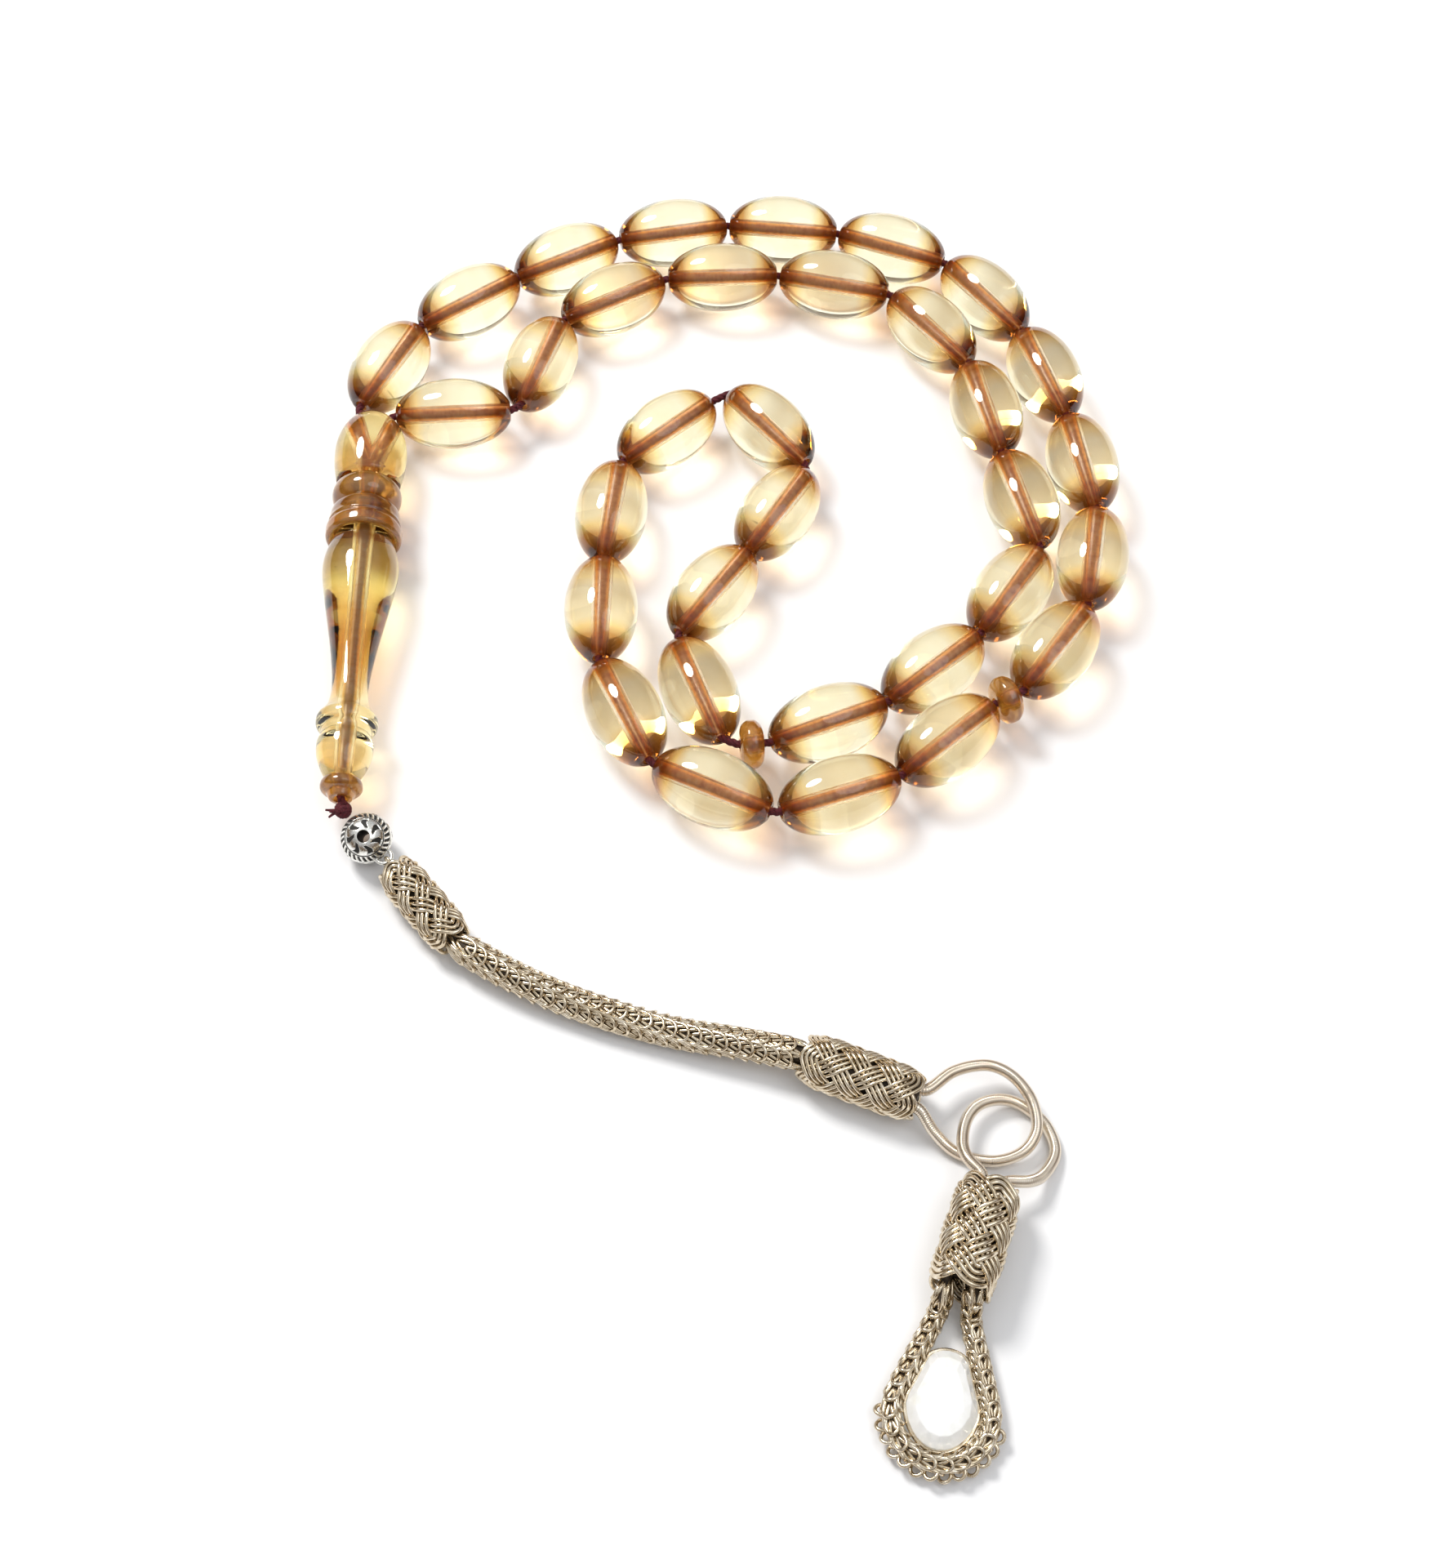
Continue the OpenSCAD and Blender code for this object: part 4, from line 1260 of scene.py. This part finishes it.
# The stone stays inside the rim's inner edge, found by direction from the stone's middle
stone_w = PENDANT_W - 2 * RIM_W - 2 * STONE_GAP
stone_l = stone_w + 2.4
stone_x = PENDANT_L - RIM_W - STONE_GAP - stone_l / 2
limit = resample(pendant_outline(-RIM_W - STONE_GAP), 0.05, True)[:, :2] - [stone_x, 0]
limit_turn = np.arctan2(limit[:, 1], limit[:, 0])
limit_order = np.argsort(limit_turn)


def girdle(count, phase=0.0):
    """The stone's oval, kept inside the rim."""
    made = []
    for k in range(count):
        a = TAU * (k + phase) / count
        p = np.array([math.cos(a) * stone_l / 2, math.sin(a) * stone_w / 2])
        turn_of = math.atan2(p[1], p[0])
        room = np.interp(turn_of, limit_turn[limit_order], np.linalg.norm(limit, axis=1)[limit_order])
        made.append(p * min(1.0, room / np.linalg.norm(p)))
    return np.array(made)


# Rings of the cut from table to point: corners, turn, size and height
CUT = (
    (8, 0.5, 0.58, 3.05),
    (16, 0.0, 0.8, 2.62),
    (32, 0.0, 1.0, 1.6),
    (32, 0.0, 1.0, 1.34),
    (16, 0.5, 0.7, 0.72),
    (8, 0.0, 0.3, 0.15),
)
facets = []
for count, phase, size, z in CUT:
    ring = girdle(count, phase) * size + [stone_x, 0]
    facets += [[*p, z] for p in ring]
cut = bmesh.new()
for p in in_pendant(np.array(facets)) * MM:
    cut.verts.new(p)
hull = bmesh.ops.convex_hull(cut, input=cut.verts)
within = [g for g in hull["geom_interior"] if isinstance(g, bmesh.types.BMVert)]
bmesh.ops.delete(cut, geom=within, context="VERTS")
bmesh.ops.dissolve_limit(cut, angle_limit=math.radians(1.5), verts=cut.verts, edges=cut.edges)
bmesh.ops.bevel(cut, geom=cut.edges, offset=0.05 * MM, segments=1, affect="EDGES")
stone_mesh = bpy.data.meshes.new("cut_stone")
cut.to_mesh(stone_mesh)
cut.free()
stone_mesh.materials.append(STONE)
piece("cut_stone", stone_mesh, ["crystal"])

# The wire that holds the stone
setting = girdle(64) * 1.035 + [stone_x, 0]
setting = in_pendant(np.array([[*p, 1.25] for p in setting]))
rim.tube(setting, 0.2, 8, closed=True)
piece("pendant_rim", rim.mesh("pendant_rim", [WEAVE, GAP_SHADE]), ["pendant_frame"])
